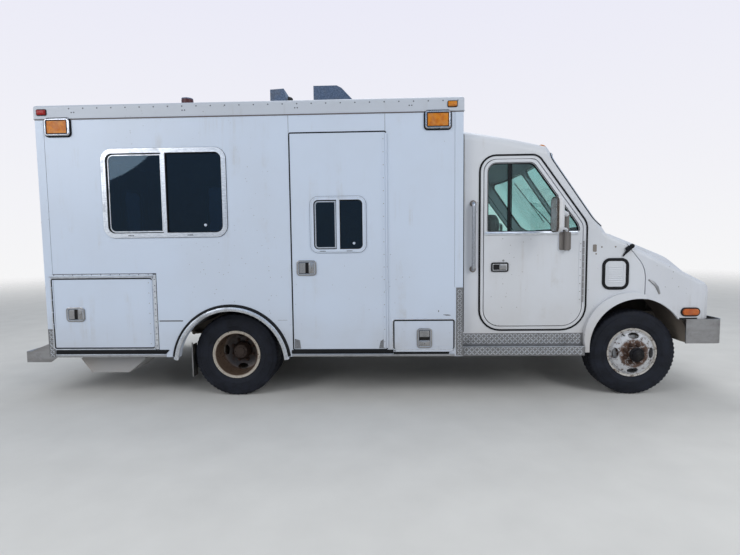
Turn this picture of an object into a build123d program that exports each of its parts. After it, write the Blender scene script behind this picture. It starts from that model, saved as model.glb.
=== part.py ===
from build123d import *
import math
import os

# Step van with a cutaway cab and a separate flat-sided service body.
# All lengths are millimetres. +X points forward, +Y to the driver's side, +Z up.
# The ground is z = 0 and x = 0 is halfway between the two bumpers' ends.

# Chassis sizes
wheelbase = 3607.0
rear_overhang = 1955.0
front_overhang = 723.0
tyre_radius = 385.5
tyre_width = 212.0
rim_radius = 203.0
rim_lip_radius = 221.0
wheel_offset = 127.0
front_tyre_y = 920.0
rear_outer_tyre_y = 945.0
kingpin_inset = 60.0
rail_top = 675.0
rail_depth = 190.0
rail_width = 65.0
rail_outer_y = 430.0
rail_web = 14.0

# Service body sizes
box_behind_rear_axle = 1670.0
box_bottom = 397.0
wall_top = 2510.0
box_top = 2632.0
box_half_width = 1170.0
box_wall = 50.0
floor_thickness = 50.0

# Cab and nose sizes
cab_behind_front_axle = 1547.0
cab_half_width = 1100.0
cab_wall = 40.0
cab_bottom = 587.0
cab_floor_thickness = 40.0
nose_wall = 25.0
firewall_behind_front_axle = 440.0

# Running gaps
door_gap = 7.0
seat_gap = 0.3
pin_gap = 0.1
barrel_radius = 7.0
leaf_plate = 3.0

# Places that follow from the sizes above
overall_length = rear_overhang + wheelbase + front_overhang
rear_axle_x = rear_overhang - overall_length / 2
front_axle_x = rear_axle_x + wheelbase
bumper_front_x = front_axle_x + front_overhang
box_back_x = rear_axle_x - box_behind_rear_axle
cab_back_x = front_axle_x - cab_behind_front_axle
box_front_x = cab_back_x
floor_top = rail_top + floor_thickness
cab_floor_top = rail_top + cab_floor_thickness
wall_inner_y = box_half_width - box_wall
rear_inner_tyre_y = rear_outer_tyre_y - 2 * wheel_offset
rear_hub_y = rear_outer_tyre_y - wheel_offset
kingpin_y = front_tyre_y - kingpin_inset
rail_bottom = rail_top - rail_depth
rail_inner_y = rail_outer_y - rail_width
hinge_out = barrel_radius + seat_gap

RIGHT = -1
LEFT = 1
made = {}


def keep(name, shape):
    """Stores a finished piece under its node name."""
    made[name] = shape


def slab(x0, x1, y0, y1, z0, z1):
    """Block between two corners."""
    return Pos((x0 + x1) / 2, (y0 + y1) / 2, (z0 + z1) / 2) * Box(abs(x1 - x0), abs(y1 - y0), abs(z1 - z0))


def side_band(side, inner, outer):
    """Low and high Y of a layer between two distances from the centre plane on one side."""
    return tuple(sorted((side * inner, side * outer)))


def side_slab(side, x0, x1, inner, outer, z0, z1):
    """Block on one side of the van, between two distances from the centre plane."""
    y0, y1 = side_band(side, inner, outer)
    return slab(x0, x1, y0, y1, z0, z1)


def outline_face(corners):
    """Face from rows of (across, up, corner radius)."""
    line = FilletPolyline(*[(a, b) for a, b, _ in corners], radius=[r for _, _, r in corners], close=True)
    return make_face(line)


def side_prism(face, y0, y1):
    """Carries a face drawn in X and Z from one Y to a higher Y."""
    return extrude(Plane.XZ.offset(-y1) * face, amount=y1 - y0)


def end_prism(face, x0, x1):
    """Carries a face drawn in Y and Z from one X to a higher X."""
    return extrude(Plane.YZ.offset(x0) * face, amount=x1 - x0)


def plan_prism(face, z0, z1):
    """Carries a face drawn in X and Y from one height up to another."""
    return extrude(Plane.XY.offset(z0) * face, amount=z1 - z0)


def window_face(x0, x1, z0, z1, radius):
    """Rounded rectangle between two corners."""
    return Pos((x0 + x1) / 2, (z0 + z1) / 2) * RectangleRounded(x1 - x0, z1 - z0, radius)


def ring_prism(outer, inner, y0, y1):
    """Flat ring left between two faces."""
    return side_prism(outer - inner, y0, y1)


def across_cylinder(x, z, radius, y0, y1):
    """Cylinder along Y between two planes."""
    return side_prism(Pos(x, z) * Circle(radius), y0, y1)


def upright_cylinder(x, y, radius, z0, z1):
    """Cylinder along Z between two heights."""
    return plan_prism(Pos(x, y) * Circle(radius), z0, z1)


def along_cylinder(y, z, radius, x0, x1):
    """Cylinder along X between two planes."""
    return end_prism(Pos(y, z) * Circle(radius), x0, x1)


def tube_path(points, radius, bend):
    """Round bar along straight runs joined by bends."""
    path = FilletPolyline(*points, radius=bend)
    return sweep(Plane(origin=path @ 0, z_dir=path % 0) * Circle(radius), path=path)


def spin_profile(rows, side, centre_x, centre_y, centre_z):
    """Turns rows of (radius, outward distance) about an axle that lies along Y."""
    points = [(r, side * d) for r, d in rows]
    face = make_face(Polyline(*points, close=True))
    solid = revolve(face, axis=Axis.Y)
    return Pos(centre_x, centre_y, centre_z) * solid


# Service body side openings: from, to, low, high
# The big window and rear lockers keep their place over the rear axle, the rest to the body's front
big_window = (rear_axle_x - 1100.0, rear_axle_x + 5.0, 1470.0, 2246.0)
big_window_radius = 100.0
big_window_frame = 40.0
entry_door_open = (box_front_x - 1493.0, box_front_x - 669.0, 465.0, 2347.0)
entry_window = (box_front_x - 1327.0, box_front_x - 840.0, 1320.0, 1808.0)
entry_window_radius = 70.0
entry_window_frame = 30.0
rear_locker = (rear_axle_x - 1604.0, rear_axle_x - 705.0, 487.0, 1103.0)
rear_locker_depth = 465.0
front_locker = (box_front_x - 600.0, box_front_x - 84.0, 453.0, 712.0)
front_locker_depth = 330.0
locker_skin = 18.0
arch_centre_z = 330.0
arch_radius = 481.0
arch_trim_radius = 523.0
arch_trim_proud = 14.0
frame_proud = 9.0
glass_thickness = 8.0

# Rear doorway
rear_door_half = 640.0
rear_door_low = 745.0
rear_door_high = 2330.0


def opening_corners(spec, grow=0.0):
    """A side opening's x0, x1, z0, z1, grown all round."""
    low_x, high_x, low_z, high_z = spec
    return (low_x - grow, high_x + grow, low_z - grow, high_z + grow)


def opening_face(spec, radius, grow=0.0):
    """Rounded face of a side opening."""
    x0, x1, z0, z1 = opening_corners(spec, grow)
    return window_face(x0, x1, z0, z1, radius)


# Body side walls: one flat panel each, with windows, doorways, lockers and wheel arch cut out
def box_wall_panel(side):
    """One side wall with its arch bead."""
    y0, y1 = side_band(side, wall_inner_y, box_half_width)
    wall = slab(box_back_x, box_front_x, y0, y1, box_bottom, wall_top)
    cut0, cut1 = y0 - box_wall, y1 + box_wall
    cuts = [
        opening_face(big_window, big_window_radius - big_window_frame, -big_window_frame),
        opening_face(rear_locker, 12.0, door_gap),
        Pos(rear_axle_x, arch_centre_z) * Circle(arch_radius),
    ]
    if side == RIGHT:
        cuts.append(opening_face(entry_door_open, 12.0, door_gap))
        cuts.append(opening_face(front_locker, 12.0, door_gap))
    for face in cuts:
        wall -= side_prism(face, cut0, cut1)
    proud0, proud1 = side_band(side, box_half_width, box_half_width + arch_trim_proud)
    trim = Pos(rear_axle_x, arch_centre_z) * Circle(arch_trim_radius)
    trim -= Pos(rear_axle_x, arch_centre_z) * Circle(arch_radius)
    bead = side_prism(trim, proud0, proud1)
    bead -= slab(box_back_x, box_front_x, proud0 - 1, proud1 + 1, -arch_trim_radius, box_bottom - 18)
    return wall + bead


keep("box_wall_right", box_wall_panel(RIGHT))
keep("box_wall_left", box_wall_panel(LEFT))

# Window frames stand proud of the wall, and two panes slide behind a centre bar
frames = []
panes = []
for side in (RIGHT, LEFT):
    x0, x1, z0, z1 = opening_corners(big_window)
    outer = opening_face(big_window, big_window_radius)
    inner = opening_face(big_window, big_window_radius - big_window_frame, -big_window_frame)
    y0, y1 = side_band(side, box_half_width, box_half_width + frame_proud)
    frame = ring_prism(outer, inner, y0, y1)
    bar_x = (x0 + x1) / 2
    bar0, bar1 = side_band(side, box_half_width - 22, box_half_width + frame_proud)
    frame += slab(bar_x - 16, bar_x + 16, bar0, bar1, z0 + big_window_frame, z1 - big_window_frame)
    frames.append(frame)
    pane0, pane1 = side_band(side, box_half_width - 12 - glass_thickness, box_half_width - 12)
    pane_face = opening_face(big_window, big_window_radius - big_window_frame, -big_window_frame - seat_gap)
    glass = side_prism(pane_face, pane0, pane1)
    glass -= slab(bar_x - 16 - seat_gap, bar_x + 16 + seat_gap, pane0 - 1, pane1 + 1, z0, z1)
    panes.append(glass)
keep("box_window_frames", Compound(children=[s for f in frames for s in f.solids()]))
keep("box_window_glass", Compound(children=[s for p in panes for s in p.solids()]))

# Roof: a shallow lid whose rounded skirt caps the tops of all four walls
roof_outer_half = box_half_width + 5
roof = slab(box_back_x - 5, box_front_x + 5, -roof_outer_half, roof_outer_half, wall_top, box_top)
roof = fillet(roof.edges().group_by(Axis.Z)[-1], radius=28)
roof -= slab(
    box_back_x + box_wall, box_front_x - box_wall, -wall_inner_y, wall_inner_y, wall_top - 1, box_top - 32
)
keep("box_roof", roof)

# Front wall between the side walls, with the walk-through to the cab
passage_half = 340.0
passage_top = 2150.0
front_wall_x = box_front_x - box_wall
front_wall = slab(front_wall_x, box_front_x, -wall_inner_y, wall_inner_y, box_bottom, wall_top)
front_wall -= slab(
    front_wall_x - 1, box_front_x + 1, -passage_half, passage_half, box_bottom - 1, passage_top
)
front_wall -= slab(front_wall_x - 1, box_front_x + 1, -720, 720, box_bottom - 1, floor_top)
keep("box_front_wall", front_wall)

# Rear frame round the double doors
rear_frame = slab(box_back_x, box_back_x + box_wall, -wall_inner_y, wall_inner_y, box_bottom, wall_top)
rear_frame -= slab(
    box_back_x - 1,
    box_back_x + box_wall + 1,
    -rear_door_half - door_gap,
    rear_door_half + door_gap,
    rear_door_low - door_gap,
    rear_door_high + door_gap,
)
keep("box_rear_frame", rear_frame)

# Floor with a step well behind the entry door and housings over the twin wheels
entry_x0, entry_x1, entry_z0, entry_z1 = opening_corners(entry_door_open)
well_inner_y = 760.0
well_plate = 20.0
housing_inner_y = rear_inner_tyre_y - tyre_width / 2 - 50
housing_skin = 14.0
floor = slab(box_back_x + box_wall, front_wall_x, -wall_inner_y, wall_inner_y, rail_top, floor_top)
locker_x0, locker_x1, _, _ = opening_corners(rear_locker, door_gap)
for side in (RIGHT, LEFT):
    y0, y1 = side_band(side, housing_inner_y, wall_inner_y)
    end0, end1 = side_band(side, housing_inner_y - housing_skin, housing_inner_y)
    lid = across_cylinder(rear_axle_x, arch_centre_z, arch_radius + housing_skin, y0, y1)
    lid += across_cylinder(rear_axle_x, arch_centre_z, arch_radius + housing_skin, end0, end1)
    lid -= slab(box_back_x, box_front_x, -wall_inner_y, wall_inner_y, -arch_radius, rail_top)
    floor += lid
    floor -= across_cylinder(rear_axle_x, arch_centre_z, arch_radius, y0, y1)
    floor -= side_slab(
        side,
        locker_x0 - locker_skin - seat_gap,
        locker_x1 + locker_skin + seat_gap,
        wall_inner_y - rear_locker_depth - seat_gap,
        wall_inner_y + 1,
        rail_top - 1,
        floor_top + 1,
    )
well_x0 = entry_x0 + well_plate
well_x1 = entry_x1 - well_plate
floor -= slab(well_x0, well_x1, -wall_inner_y - 1, -well_inner_y, rail_top - 1, floor_top + 1)
well = slab(entry_x0, entry_x1, -wall_inner_y, -well_inner_y + well_plate, entry_z0, rail_top)
well -= slab(well_x0, well_x1, -wall_inner_y - 1, -well_inner_y, entry_z0 + well_plate, rail_top + 1)
floor += well
keep("box_floor", floor)


# Lockers: open-fronted sheet boxes behind the small doors
def locker_box(side, spec, depth):
    """Sheet box open toward the small door."""
    x0, x1, z0, z1 = opening_corners(spec, door_gap)
    inner = wall_inner_y - depth
    back_x = max(x0 - locker_skin, box_back_x + box_wall)
    box = side_slab(side, back_x, x1 + locker_skin, inner, wall_inner_y, z0 - locker_skin, z1 + locker_skin)
    box -= side_slab(side, x0, x1, inner + locker_skin, wall_inner_y + 1, z0, z1)
    return box


# The pan under the rear locker is a bent sheet tray with sloping ends
pan_top = 360.0
pan_bottom = 228.0
pan_face = make_face(
    Polyline(
        (rear_axle_x - 1454, pan_top),
        (rear_axle_x - 1356, pan_bottom),
        (rear_axle_x - 1004, pan_bottom),
        (rear_axle_x - 837, pan_top),
        close=True,
    )
)
pan_neck = side_slab(
    RIGHT,
    rear_axle_x - 1440,
    rear_axle_x - 850,
    wall_inner_y - 400,
    wall_inner_y - 60,
    pan_top,
    rear_locker[2] - door_gap - locker_skin,
)
pan0, pan1 = side_band(RIGHT, wall_inner_y - 400, wall_inner_y - 60)
rear_locker_right = locker_box(RIGHT, rear_locker, rear_locker_depth) + side_prism(pan_face, pan0, pan1) + pan_neck
front_locker_right = locker_box(RIGHT, front_locker, front_locker_depth)
front_locker_right -= slab(box_back_x, box_front_x, -box_half_width, box_half_width, rail_top, box_top)
rear_locker_left = locker_box(LEFT, rear_locker, rear_locker_depth)
keep(
    "lockers",
    Compound(children=[rear_locker_right.solid(), front_locker_right.solid(), rear_locker_left.solid()]),
)


# Hinges: a barrel over the jamb's edge, and a thin plate that carries the leaf
def upright_hinge(side, hinge_x, toward, face_y, z0, z1, reach=34.0):
    """Barrel over the jamb at hinge_x, plate running toward the leaf (-1 back, +1 forward)."""
    y = side * (face_y + hinge_out)
    barrel = upright_cylinder(hinge_x, y, barrel_radius, z0, z1)
    x0, x1 = sorted((hinge_x, hinge_x + toward * reach))
    plate = side_slab(side, x0, x1, face_y + seat_gap, face_y + seat_gap + leaf_plate, z0, z1)
    foot0, foot1 = sorted((hinge_x + toward * (door_gap + 1), hinge_x + toward * reach))
    foot = side_slab(side, foot0, foot1, face_y, face_y + seat_gap + leaf_plate, z0, z1)
    return barrel + plate + foot


def paddle_latch(side, x, z, face_y, width, height, proud=7.0):
    """Recessed paddle handle: a rounded dish plate with its paddle inside."""
    y0, y1 = side_band(side, face_y, face_y + proud)
    rim = window_face(x - width / 2, x + width / 2, z - height / 2, z + height / 2, 22)
    margin = 16.0
    dish = window_face(
        x - width / 2 + margin, x + width / 2 - margin, z - height / 2 + margin, z + height / 2 - margin, 8
    )
    plate = side_prism(rim, y0, y1)
    cut0, cut1 = side_band(side, face_y + proud - 4, face_y + proud + 1)
    return plate - side_prism(dish, cut0, cut1)


# Entry door with its own two-pane window
entry_leaf_thickness = 42.0
entry_hinge_x = entry_door_open[1] + door_gap
leaf0, leaf1 = side_band(RIGHT, box_half_width - entry_leaf_thickness, box_half_width)
entry_door = side_prism(opening_face(entry_door_open, 8.0), leaf0, leaf1)
entry_door -= side_prism(
    opening_face(entry_window, entry_window_radius - entry_window_frame, -entry_window_frame), leaf0 - 1, leaf1 + 1
)
ring0, ring1 = side_band(RIGHT, box_half_width, box_half_width + frame_proud)
entry_door += ring_prism(
    opening_face(entry_window, entry_window_radius),
    opening_face(entry_window, entry_window_radius - entry_window_frame, -entry_window_frame),
    ring0,
    ring1,
)
ex0, ex1, ez0, ez1 = opening_corners(entry_window)
entry_bar_x = (ex0 + ex1) / 2
bar0, bar1 = side_band(RIGHT, box_half_width - 22, box_half_width + frame_proud)
entry_door += slab(
    entry_bar_x - 14, entry_bar_x + 14, bar0, bar1, ez0 + entry_window_frame, ez1 - entry_window_frame
)
entry_door += upright_hinge(RIGHT, entry_hinge_x, -1, box_half_width, entry_z0 + 10, entry_z1 - 10)
entry_door += paddle_latch(RIGHT, entry_door_open[0] + 125, 1188, box_half_width, 172, 134)
keep("entry_door", entry_door)
pane0, pane1 = side_band(RIGHT, box_half_width - 12 - glass_thickness, box_half_width - 12)
entry_glass = side_prism(
    opening_face(entry_window, entry_window_radius - entry_window_frame, -entry_window_frame - seat_gap), pane0, pane1
)
entry_glass -= slab(entry_bar_x - 14 - seat_gap, entry_bar_x + 14 + seat_gap, pane0 - 1, pane1 + 1, ez0, ez1)
keep("entry_door_glass", Compound(children=list(entry_glass.solids())))

# Rear locker doors, hinged at their front edges
locker_leaf = 38.0
locker_hinge_x = rear_locker[1] + door_gap
for name, side in (("rear_locker_door_right", RIGHT), ("rear_locker_door_left", LEFT)):
    leaf0, leaf1 = side_band(side, box_half_width - locker_leaf, box_half_width)
    leaf = side_prism(opening_face(rear_locker, 8.0), leaf0, leaf1)
    leaf += upright_hinge(side, locker_hinge_x, -1, box_half_width, rear_locker[2] + 8, rear_locker[3] - 8)
    leaf += paddle_latch(side, rear_locker[0] + 201, 789, box_half_width, 167, 128)
    keep(name, leaf)

# Front locker door drops on a hinge along its bottom edge
fx0, fx1, fz0, _ = opening_corners(front_locker)
front_locker_hinge_z = fz0 - door_gap
leaf0, leaf1 = side_band(RIGHT, box_half_width - locker_leaf, box_half_width)
drop_door = side_prism(opening_face(front_locker, 8.0), leaf0, leaf1)
drop_door += along_cylinder(
    -box_half_width - hinge_out, front_locker_hinge_z, barrel_radius, fx0 + 8, fx1 - 8
)
drop_door += side_slab(
    RIGHT,
    fx0 + 8,
    fx1 - 8,
    box_half_width + seat_gap,
    box_half_width + seat_gap + leaf_plate,
    front_locker_hinge_z,
    fz0 + 28,
)
drop_door += side_slab(
    RIGHT, fx0 + 8, fx1 - 8, box_half_width, box_half_width + seat_gap + leaf_plate, fz0 + 1, fz0 + 28
)
drop_door += paddle_latch(RIGHT, front_locker[0] + 263, 560, box_half_width, 131, 176)
keep("front_locker_door", drop_door)

# Double rear doors, each with a window
rear_leaf = 44.0
rear_window_half = 190.0
rear_window_low = 1500.0
rear_window_high = 2050.0
for name, side in (("rear_door_right", RIGHT), ("rear_door_left", LEFT)):
    y0, y1 = side_band(side, door_gap / 2, rear_door_half)
    mid_y = (y0 + y1) / 2
    leaf = slab(box_back_x, box_back_x + rear_leaf, y0, y1, rear_door_low, rear_door_high)
    hole = window_face(
        mid_y - rear_window_half, mid_y + rear_window_half, rear_window_low, rear_window_high, 60
    )
    rim = window_face(
        mid_y - rear_window_half - 28, mid_y + rear_window_half + 28, rear_window_low - 28, rear_window_high + 28, 85
    )
    leaf += end_prism(rim, box_back_x - frame_proud, box_back_x)
    leaf -= end_prism(hole, box_back_x - frame_proud - 1, box_back_x + rear_leaf + 1)
    hinge_y = side * (rear_door_half + door_gap)
    leaf += upright_cylinder(
        box_back_x - hinge_out, hinge_y, barrel_radius, rear_door_low + 8, rear_door_high - 8
    )
    plate0, plate1 = sorted((hinge_y, side * (rear_door_half - 28)))
    leaf += slab(
        box_back_x - seat_gap - leaf_plate,
        box_back_x - seat_gap,
        plate0,
        plate1,
        rear_door_low + 8,
        rear_door_high - 8,
    )
    foot0, foot1 = sorted((side * (rear_door_half - 1), side * (rear_door_half - 28)))
    leaf += slab(
        box_back_x - seat_gap - leaf_plate, box_back_x, foot0, foot1, rear_door_low + 8, rear_door_high - 8
    )
    keep(name, leaf)
    pane = window_face(
        mid_y - rear_window_half + seat_gap,
        mid_y + rear_window_half - seat_gap,
        rear_window_low + seat_gap,
        rear_window_high - seat_gap,
        60,
    )
    keep(name + "_glass", end_prism(pane, box_back_x + 12, box_back_x + 12 + glass_thickness))


# Cab outline from the side, measured from the front axle and the ground
windshield_lean = 0.70
windshield_base_x = -225.0
windshield_base_z = 1515.0
windshield_top_z = 2185.0
roof_back_z = 2371.0
roof_mid = (-1100.0, 2293.0)
roof_front = (-745.0, 2212.0)
middle_curve_radius = 12000.0
corner_reach = 220.0
middle_half = cab_half_width - corner_reach
corner_curve_radius = 320.0


def windshield_plan(inset):
    """Plan of the cab front: a wide gentle arc that turns back in tighter arcs at both sides."""
    half = cab_half_width - inset
    sag = middle_half**2 / (2 * middle_curve_radius)
    start_angle = math.asin(middle_half / middle_curve_radius)
    end_sine = (half - middle_half) / corner_curve_radius + math.sin(start_angle)
    end_angle = math.asin(end_sine)
    drop = corner_curve_radius * (math.cos(start_angle) - math.cos(end_angle))
    bend_angle = (start_angle + end_angle) / 2
    bend_y = middle_half + corner_curve_radius * (math.sin(bend_angle) - math.sin(start_angle))
    bend_x = -sag - corner_curve_radius * (math.cos(start_angle) - math.cos(bend_angle))
    side_x = -sag - drop
    middle = ThreePointArc((-sag, -middle_half), (0, 0), (-sag, middle_half))
    left = ThreePointArc((-sag, middle_half), (bend_x, bend_y), (side_x, half))
    right = ThreePointArc((side_x, -half), (bend_x, -bend_y), (-sag, -middle_half))
    back_x = -2400.0
    back = Polyline((side_x, half), (back_x, half), (back_x, -half), (side_x, -half))
    return make_face(Curve() + [right, middle, left, back])


def leaning_front(inset, z_low, z_high):
    """Solid behind the leaning windshield surface, moved in by an inset."""
    nose_x = front_axle_x + windshield_base_x - inset * math.hypot(1, windshield_lean)
    shift = windshield_lean * (z_low - windshield_base_z)
    face = Plane.XY.offset(z_low) * (Pos(nose_x - shift, 0) * windshield_plan(inset))
    lean_length = math.hypot(1, windshield_lean) * (z_high - z_low)
    return extrude(face, amount=lean_length, dir=(-windshield_lean, 0, 1))


# Nose outlines, measured from the front axle: the low fenders and the higher middle hood
# rows: along, up, corner radius
fender_rows = [
    (-340.0, 1490.0, 0.0),
    (-179.0, 1415.0, 300.0),
    (345.0, 1146.0, 600.0),
    (590.0, 1016.0, 70.0),
    (652.0, 905.0, 110.0),
    (658.0, 702.0, 0.0),
]
hood_rows = [
    (-340.0, 1520.0, 0.0),
    (-110.0, 1462.0, 300.0),
    (180.0, 1342.0, 600.0),
    (420.0, 1240.0, 500.0),
    (600.0, 1090.0, 90.0),
    (656.0, 702.0, 0.0),
]
hood_half_width = 800.0
nose_corner_radius = 150.0
fender_edge_radius = 46.0
hood_edge_radius = 60.0
roof_edge_radius = 85.0
nose_bottom = 702.0


def nose_profile(rows, inset):
    """Side outline of one nose layer, moved in by an inset, closed down to its open bottom."""
    low = nose_bottom - 260
    points = [(front_axle_x + x - inset * 0.35, z - inset, max(r - inset, 0.0)) for x, z, r in rows[:4]]
    points += [(front_axle_x + x - inset, z - inset * 0.5, max(r - inset, 0.0)) for x, z, r in rows[4:]]
    first_x, first_z, _ = points[0]
    last_x = points[-1][0]
    points[0] = (first_x - 20, first_z + 8, 0.0)
    points.append((last_x, low, 0.0))
    points.append((first_x - 400, low, 0.0))
    points.append((first_x - 400, first_z + 100, 0.0))
    return outline_face(points)


def round_long_edges(block, half, lowest, radius):
    """Rounds a prism's upper edges at both of its ends across the van."""
    picked = [
        e for e in block.edges() if abs(abs(e.center().Y) - half) < 0.5 and e.bounding_box().min.Z > lowest
    ]
    return fillet(picked, radius=radius)


def nose_volume(inset):
    """Fenders and raised middle hood, with rounded front corners in plan."""
    half = cab_half_width - inset
    fenders = side_prism(nose_profile(fender_rows, inset), -half, half)
    fenders = round_long_edges(fenders, half, 850, fender_edge_radius - inset)
    hood_half = hood_half_width - inset
    middle = side_prism(nose_profile(hood_rows, inset), -hood_half, hood_half)
    middle = round_long_edges(middle, hood_half, 1050, hood_edge_radius - inset)
    front = front_axle_x + 658 - inset
    back = front_axle_x - 1200
    plan = outline_face(
        [
            (back, -half, 0.0),
            (front, -half, nose_corner_radius - inset),
            (front, half, nose_corner_radius - inset),
            (back, half, 0.0),
        ]
    )
    return (fenders + middle) & plan_prism(plan, 0, 2000)


def cab_profile(inset):
    """Side outline of the cab behind the seam, moved in by an inset."""
    back = cab_back_x if inset == 0 else cab_back_x - 50
    low = cab_bottom if inset == 0 else cab_bottom - 50
    fx = front_axle_x
    top_x = fx + windshield_base_x - windshield_lean * (windshield_top_z - windshield_base_z)
    roof_line = ThreePointArc(
        (back, roof_back_z - inset), (fx + roof_mid[0], roof_mid[1] - inset), (
            fx + roof_front[0], roof_front[1] - inset
        )
    )
    rest = Polyline(
        (fx + roof_front[0], roof_front[1] - inset),
        (top_x + 25 - inset, windshield_top_z + 5 - inset),
        (fx + windshield_base_x + 60 - inset, windshield_base_z - inset * 0.4),
        (fx + windshield_base_x + 60 - inset, low),
        (back, low),
        (back, roof_back_z - inset),
    )
    return make_face(Curve() + [roof_line, rest])


def cab_volume(inset):
    """Cab block cut by its leaning front, with rounded roof edges."""
    half = cab_half_width - inset
    block = side_prism(cab_profile(inset), -half, half)
    block = round_long_edges(block, half, 2150, roof_edge_radius - inset)
    return block & leaning_front(inset, windshield_base_z - 1200, 2600)


# The seam where the nose tilts away from the cab, measured from the front axle
seam_rows = [
    (46.0, 300.0, 0.0),
    (46.0, 1160.0, 260.0),
    (-110.0, 1352.0, 60.0),
    (-110.0, 1700.0, 0.0),
]
seam_gap = 8.0
front_arch_x = front_axle_x - 6
front_arch_z = 463.0
front_arch_radius = 427.0
front_flare_radius = 465.0
flare_shift_x = 74.5
flare_shift_z = 82.4
flare_radius = 399.0
flare_proud = 38.0


def ahead_of_seam(gap):
    """Everything ahead of the seam, moved forward by a gap."""
    rows = [(front_axle_x + x + gap, z, r) for x, z, r in seam_rows]
    rows.append((front_axle_x + 1200, 1700.0, 0.0))
    rows.append((front_axle_x + 1200, 300.0, 0.0))
    return side_prism(outline_face(rows), -2000, 2000)


nose_outer = nose_volume(0)
nose_inner = nose_volume(nose_wall)
arch_cut = Part()
for side in (RIGHT, LEFT):
    y0, y1 = side_band(side, 560, cab_half_width + 100)
    arch = across_cylinder(front_arch_x, front_arch_z, front_arch_radius, y0, y1)
    arch += slab(
        front_arch_x - front_arch_radius, front_arch_x + front_arch_radius, y0, y1, 100, front_arch_z
    )
    arch_cut += arch

# Cab shell: both sides, roof, pillars, cowl and the fenders' rear parts
below_nose = slab(front_axle_x - 3000, front_axle_x + 1500, -2000, 2000, -500, nose_bottom)
shell_outer = cab_volume(0) + (nose_outer - ahead_of_seam(0) - below_nose)
behind_cab = slab(cab_back_x - 3000, cab_back_x, -2000, 2000, 0, 3000)
shell_outer -= behind_cab
shell_inner = cab_volume(cab_wall) + (
    nose_volume(cab_wall) - slab(-9000, cab_back_x - 60, -2000, 2000, 0, 3000)
)
cab_shell = shell_outer - shell_inner
cab_shell -= slab(
    cab_back_x - 10,
    front_axle_x + 200,
    -cab_half_width + cab_wall,
    cab_half_width - cab_wall,
    0,
    nose_bottom + 5,
)

# Door openings follow the windshield's lean; rows: along, up, corner radius
door_rows = [
    (-1388.0, 621.0, 175.0),
    (-468.0, 621.0, 210.0),
    (-468.0, 1553.0, 150.0),
    (-897.0, 2141.0, 100.0),
    (-1388.0, 2141.0, 135.0),
]
glass_rows = [
    (-1323.0, 1487.0, 15.0),
    (-528.0, 1487.0, 15.0),
    (-548.0, 1547.0, 60.0),
    (-936.0, 2077.0, 70.0),
    (-1323.0, 2077.0, 75.0),
]
door_frame_width = 26.0


def cab_outline(rows, inset=0.0):
    """Outline measured from the front axle, moved in all round."""
    face = outline_face([(front_axle_x + x, z, r) for x, z, r in rows])
    return offset(face, amount=-inset) if inset else face


for side in (RIGHT, LEFT):
    y0, y1 = side_band(side, cab_half_width - 200, cab_half_width + 100)
    cab_shell -= side_prism(cab_outline(door_rows, door_frame_width), y0, y1)
    f0, f1 = side_band(side, cab_half_width, cab_half_width + 5)
    cab_shell += ring_prism(cab_outline(door_rows), cab_outline(door_rows, door_frame_width), f0, f1)
cab_shell -= arch_cut
for side in (RIGHT, LEFT):
    y0, y1 = side_band(side, cab_half_width - cab_wall, cab_half_width + flare_proud)
    flare = Pos(front_arch_x - flare_shift_x, front_arch_z + flare_shift_z) * Circle(flare_radius)
    flare -= Pos(front_arch_x, front_arch_z) * Circle(front_arch_radius)
    ring = side_prism(flare, y0, y1)
    ring -= slab(front_arch_x - 900, front_arch_x + 900, y0 - 1, y1 + 1, 0, front_arch_z)
    ring &= slab(front_arch_x - 900, front_axle_x + seam_rows[0][0], y0 - 1, y1 + 1, 0, 2000)
    leg = slab(
        front_arch_x - front_flare_radius, front_arch_x - front_arch_radius, y0, y1, front_arch_z - 45, front_arch_z
    )
    cab_shell += ring + leg
screen_half = cab_half_width - 16
screen_depth = 52.0
screen_low = 1535.0
screen_high = 2165.0
post_half = 24.0
screen_holes = []
for side in (RIGHT, LEFT):
    a, b = side_band(side, post_half, screen_half)
    screen_holes.append(window_face(a, b, screen_low, screen_high, 80))
screen_skin = leaning_front(0, 1400, 2400)
screen_skin -= Pos(-screen_depth, 0, 0) * leaning_front(0, 1390, 2410)
for hole in screen_holes:
    cab_shell -= screen_skin & end_prism(hole, front_axle_x - 1000, front_axle_x)
keep("cab_shell", cab_shell)

# Windshield: two bent panes either side of the middle post
screen_inset = 8.0
screen_glass = leaning_front(screen_inset, 1400, 2400) - leaning_front(
    screen_inset + glass_thickness, 1390, 2410
)
screen_panes = []
for side in (RIGHT, LEFT):
    a, b = side_band(side, post_half + seat_gap, screen_half - seat_gap)
    pane = window_face(a, b, screen_low + seat_gap, screen_high - seat_gap, 80)
    screen_panes += (screen_glass & end_prism(pane, front_axle_x - 1000, front_axle_x)).solids()
keep("windshield", Compound(children=screen_panes))

# Tilting nose: fenders, raised hood, grille bars and lamp bowls in one shell
grille_half = 430.0
grille_low = 770.0
grille_high = 1030.0
grille_bars = 6
lamp_inner_y = 500.0
lamp_outer_y = 800.0
lamp_low = 800.0
lamp_high = 960.0
pivot_x = front_axle_x + 610.0
pivot_z = 690.0
pivot_pin = 10.0
pivot_y = 398.0
lug_half = 6.0
nose = (nose_outer - nose_inner) & ahead_of_seam(seam_gap)
nose -= arch_cut + below_nose
hood_face_top, hood_face_bottom = hood_rows[4], hood_rows[5]
grille_hole = window_face(-grille_half, grille_half, grille_low, grille_high, 40)
nose -= end_prism(grille_hole, front_axle_x + 560, front_axle_x + 700)
bar_pitch = (grille_high - grille_low) / grille_bars
for n in range(1, grille_bars):
    z = grille_low + n * bar_pitch
    down = (hood_face_top[1] - z) / (hood_face_top[1] - hood_face_bottom[1])
    face_x = front_axle_x + hood_face_top[0] + down * (hood_face_bottom[0] - hood_face_top[0])
    nose += slab(face_x - 20, face_x - 5, -grille_half - 3, grille_half + 3, z - 9, z + 9)
lamp_floor = nose_volume(12)
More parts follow.
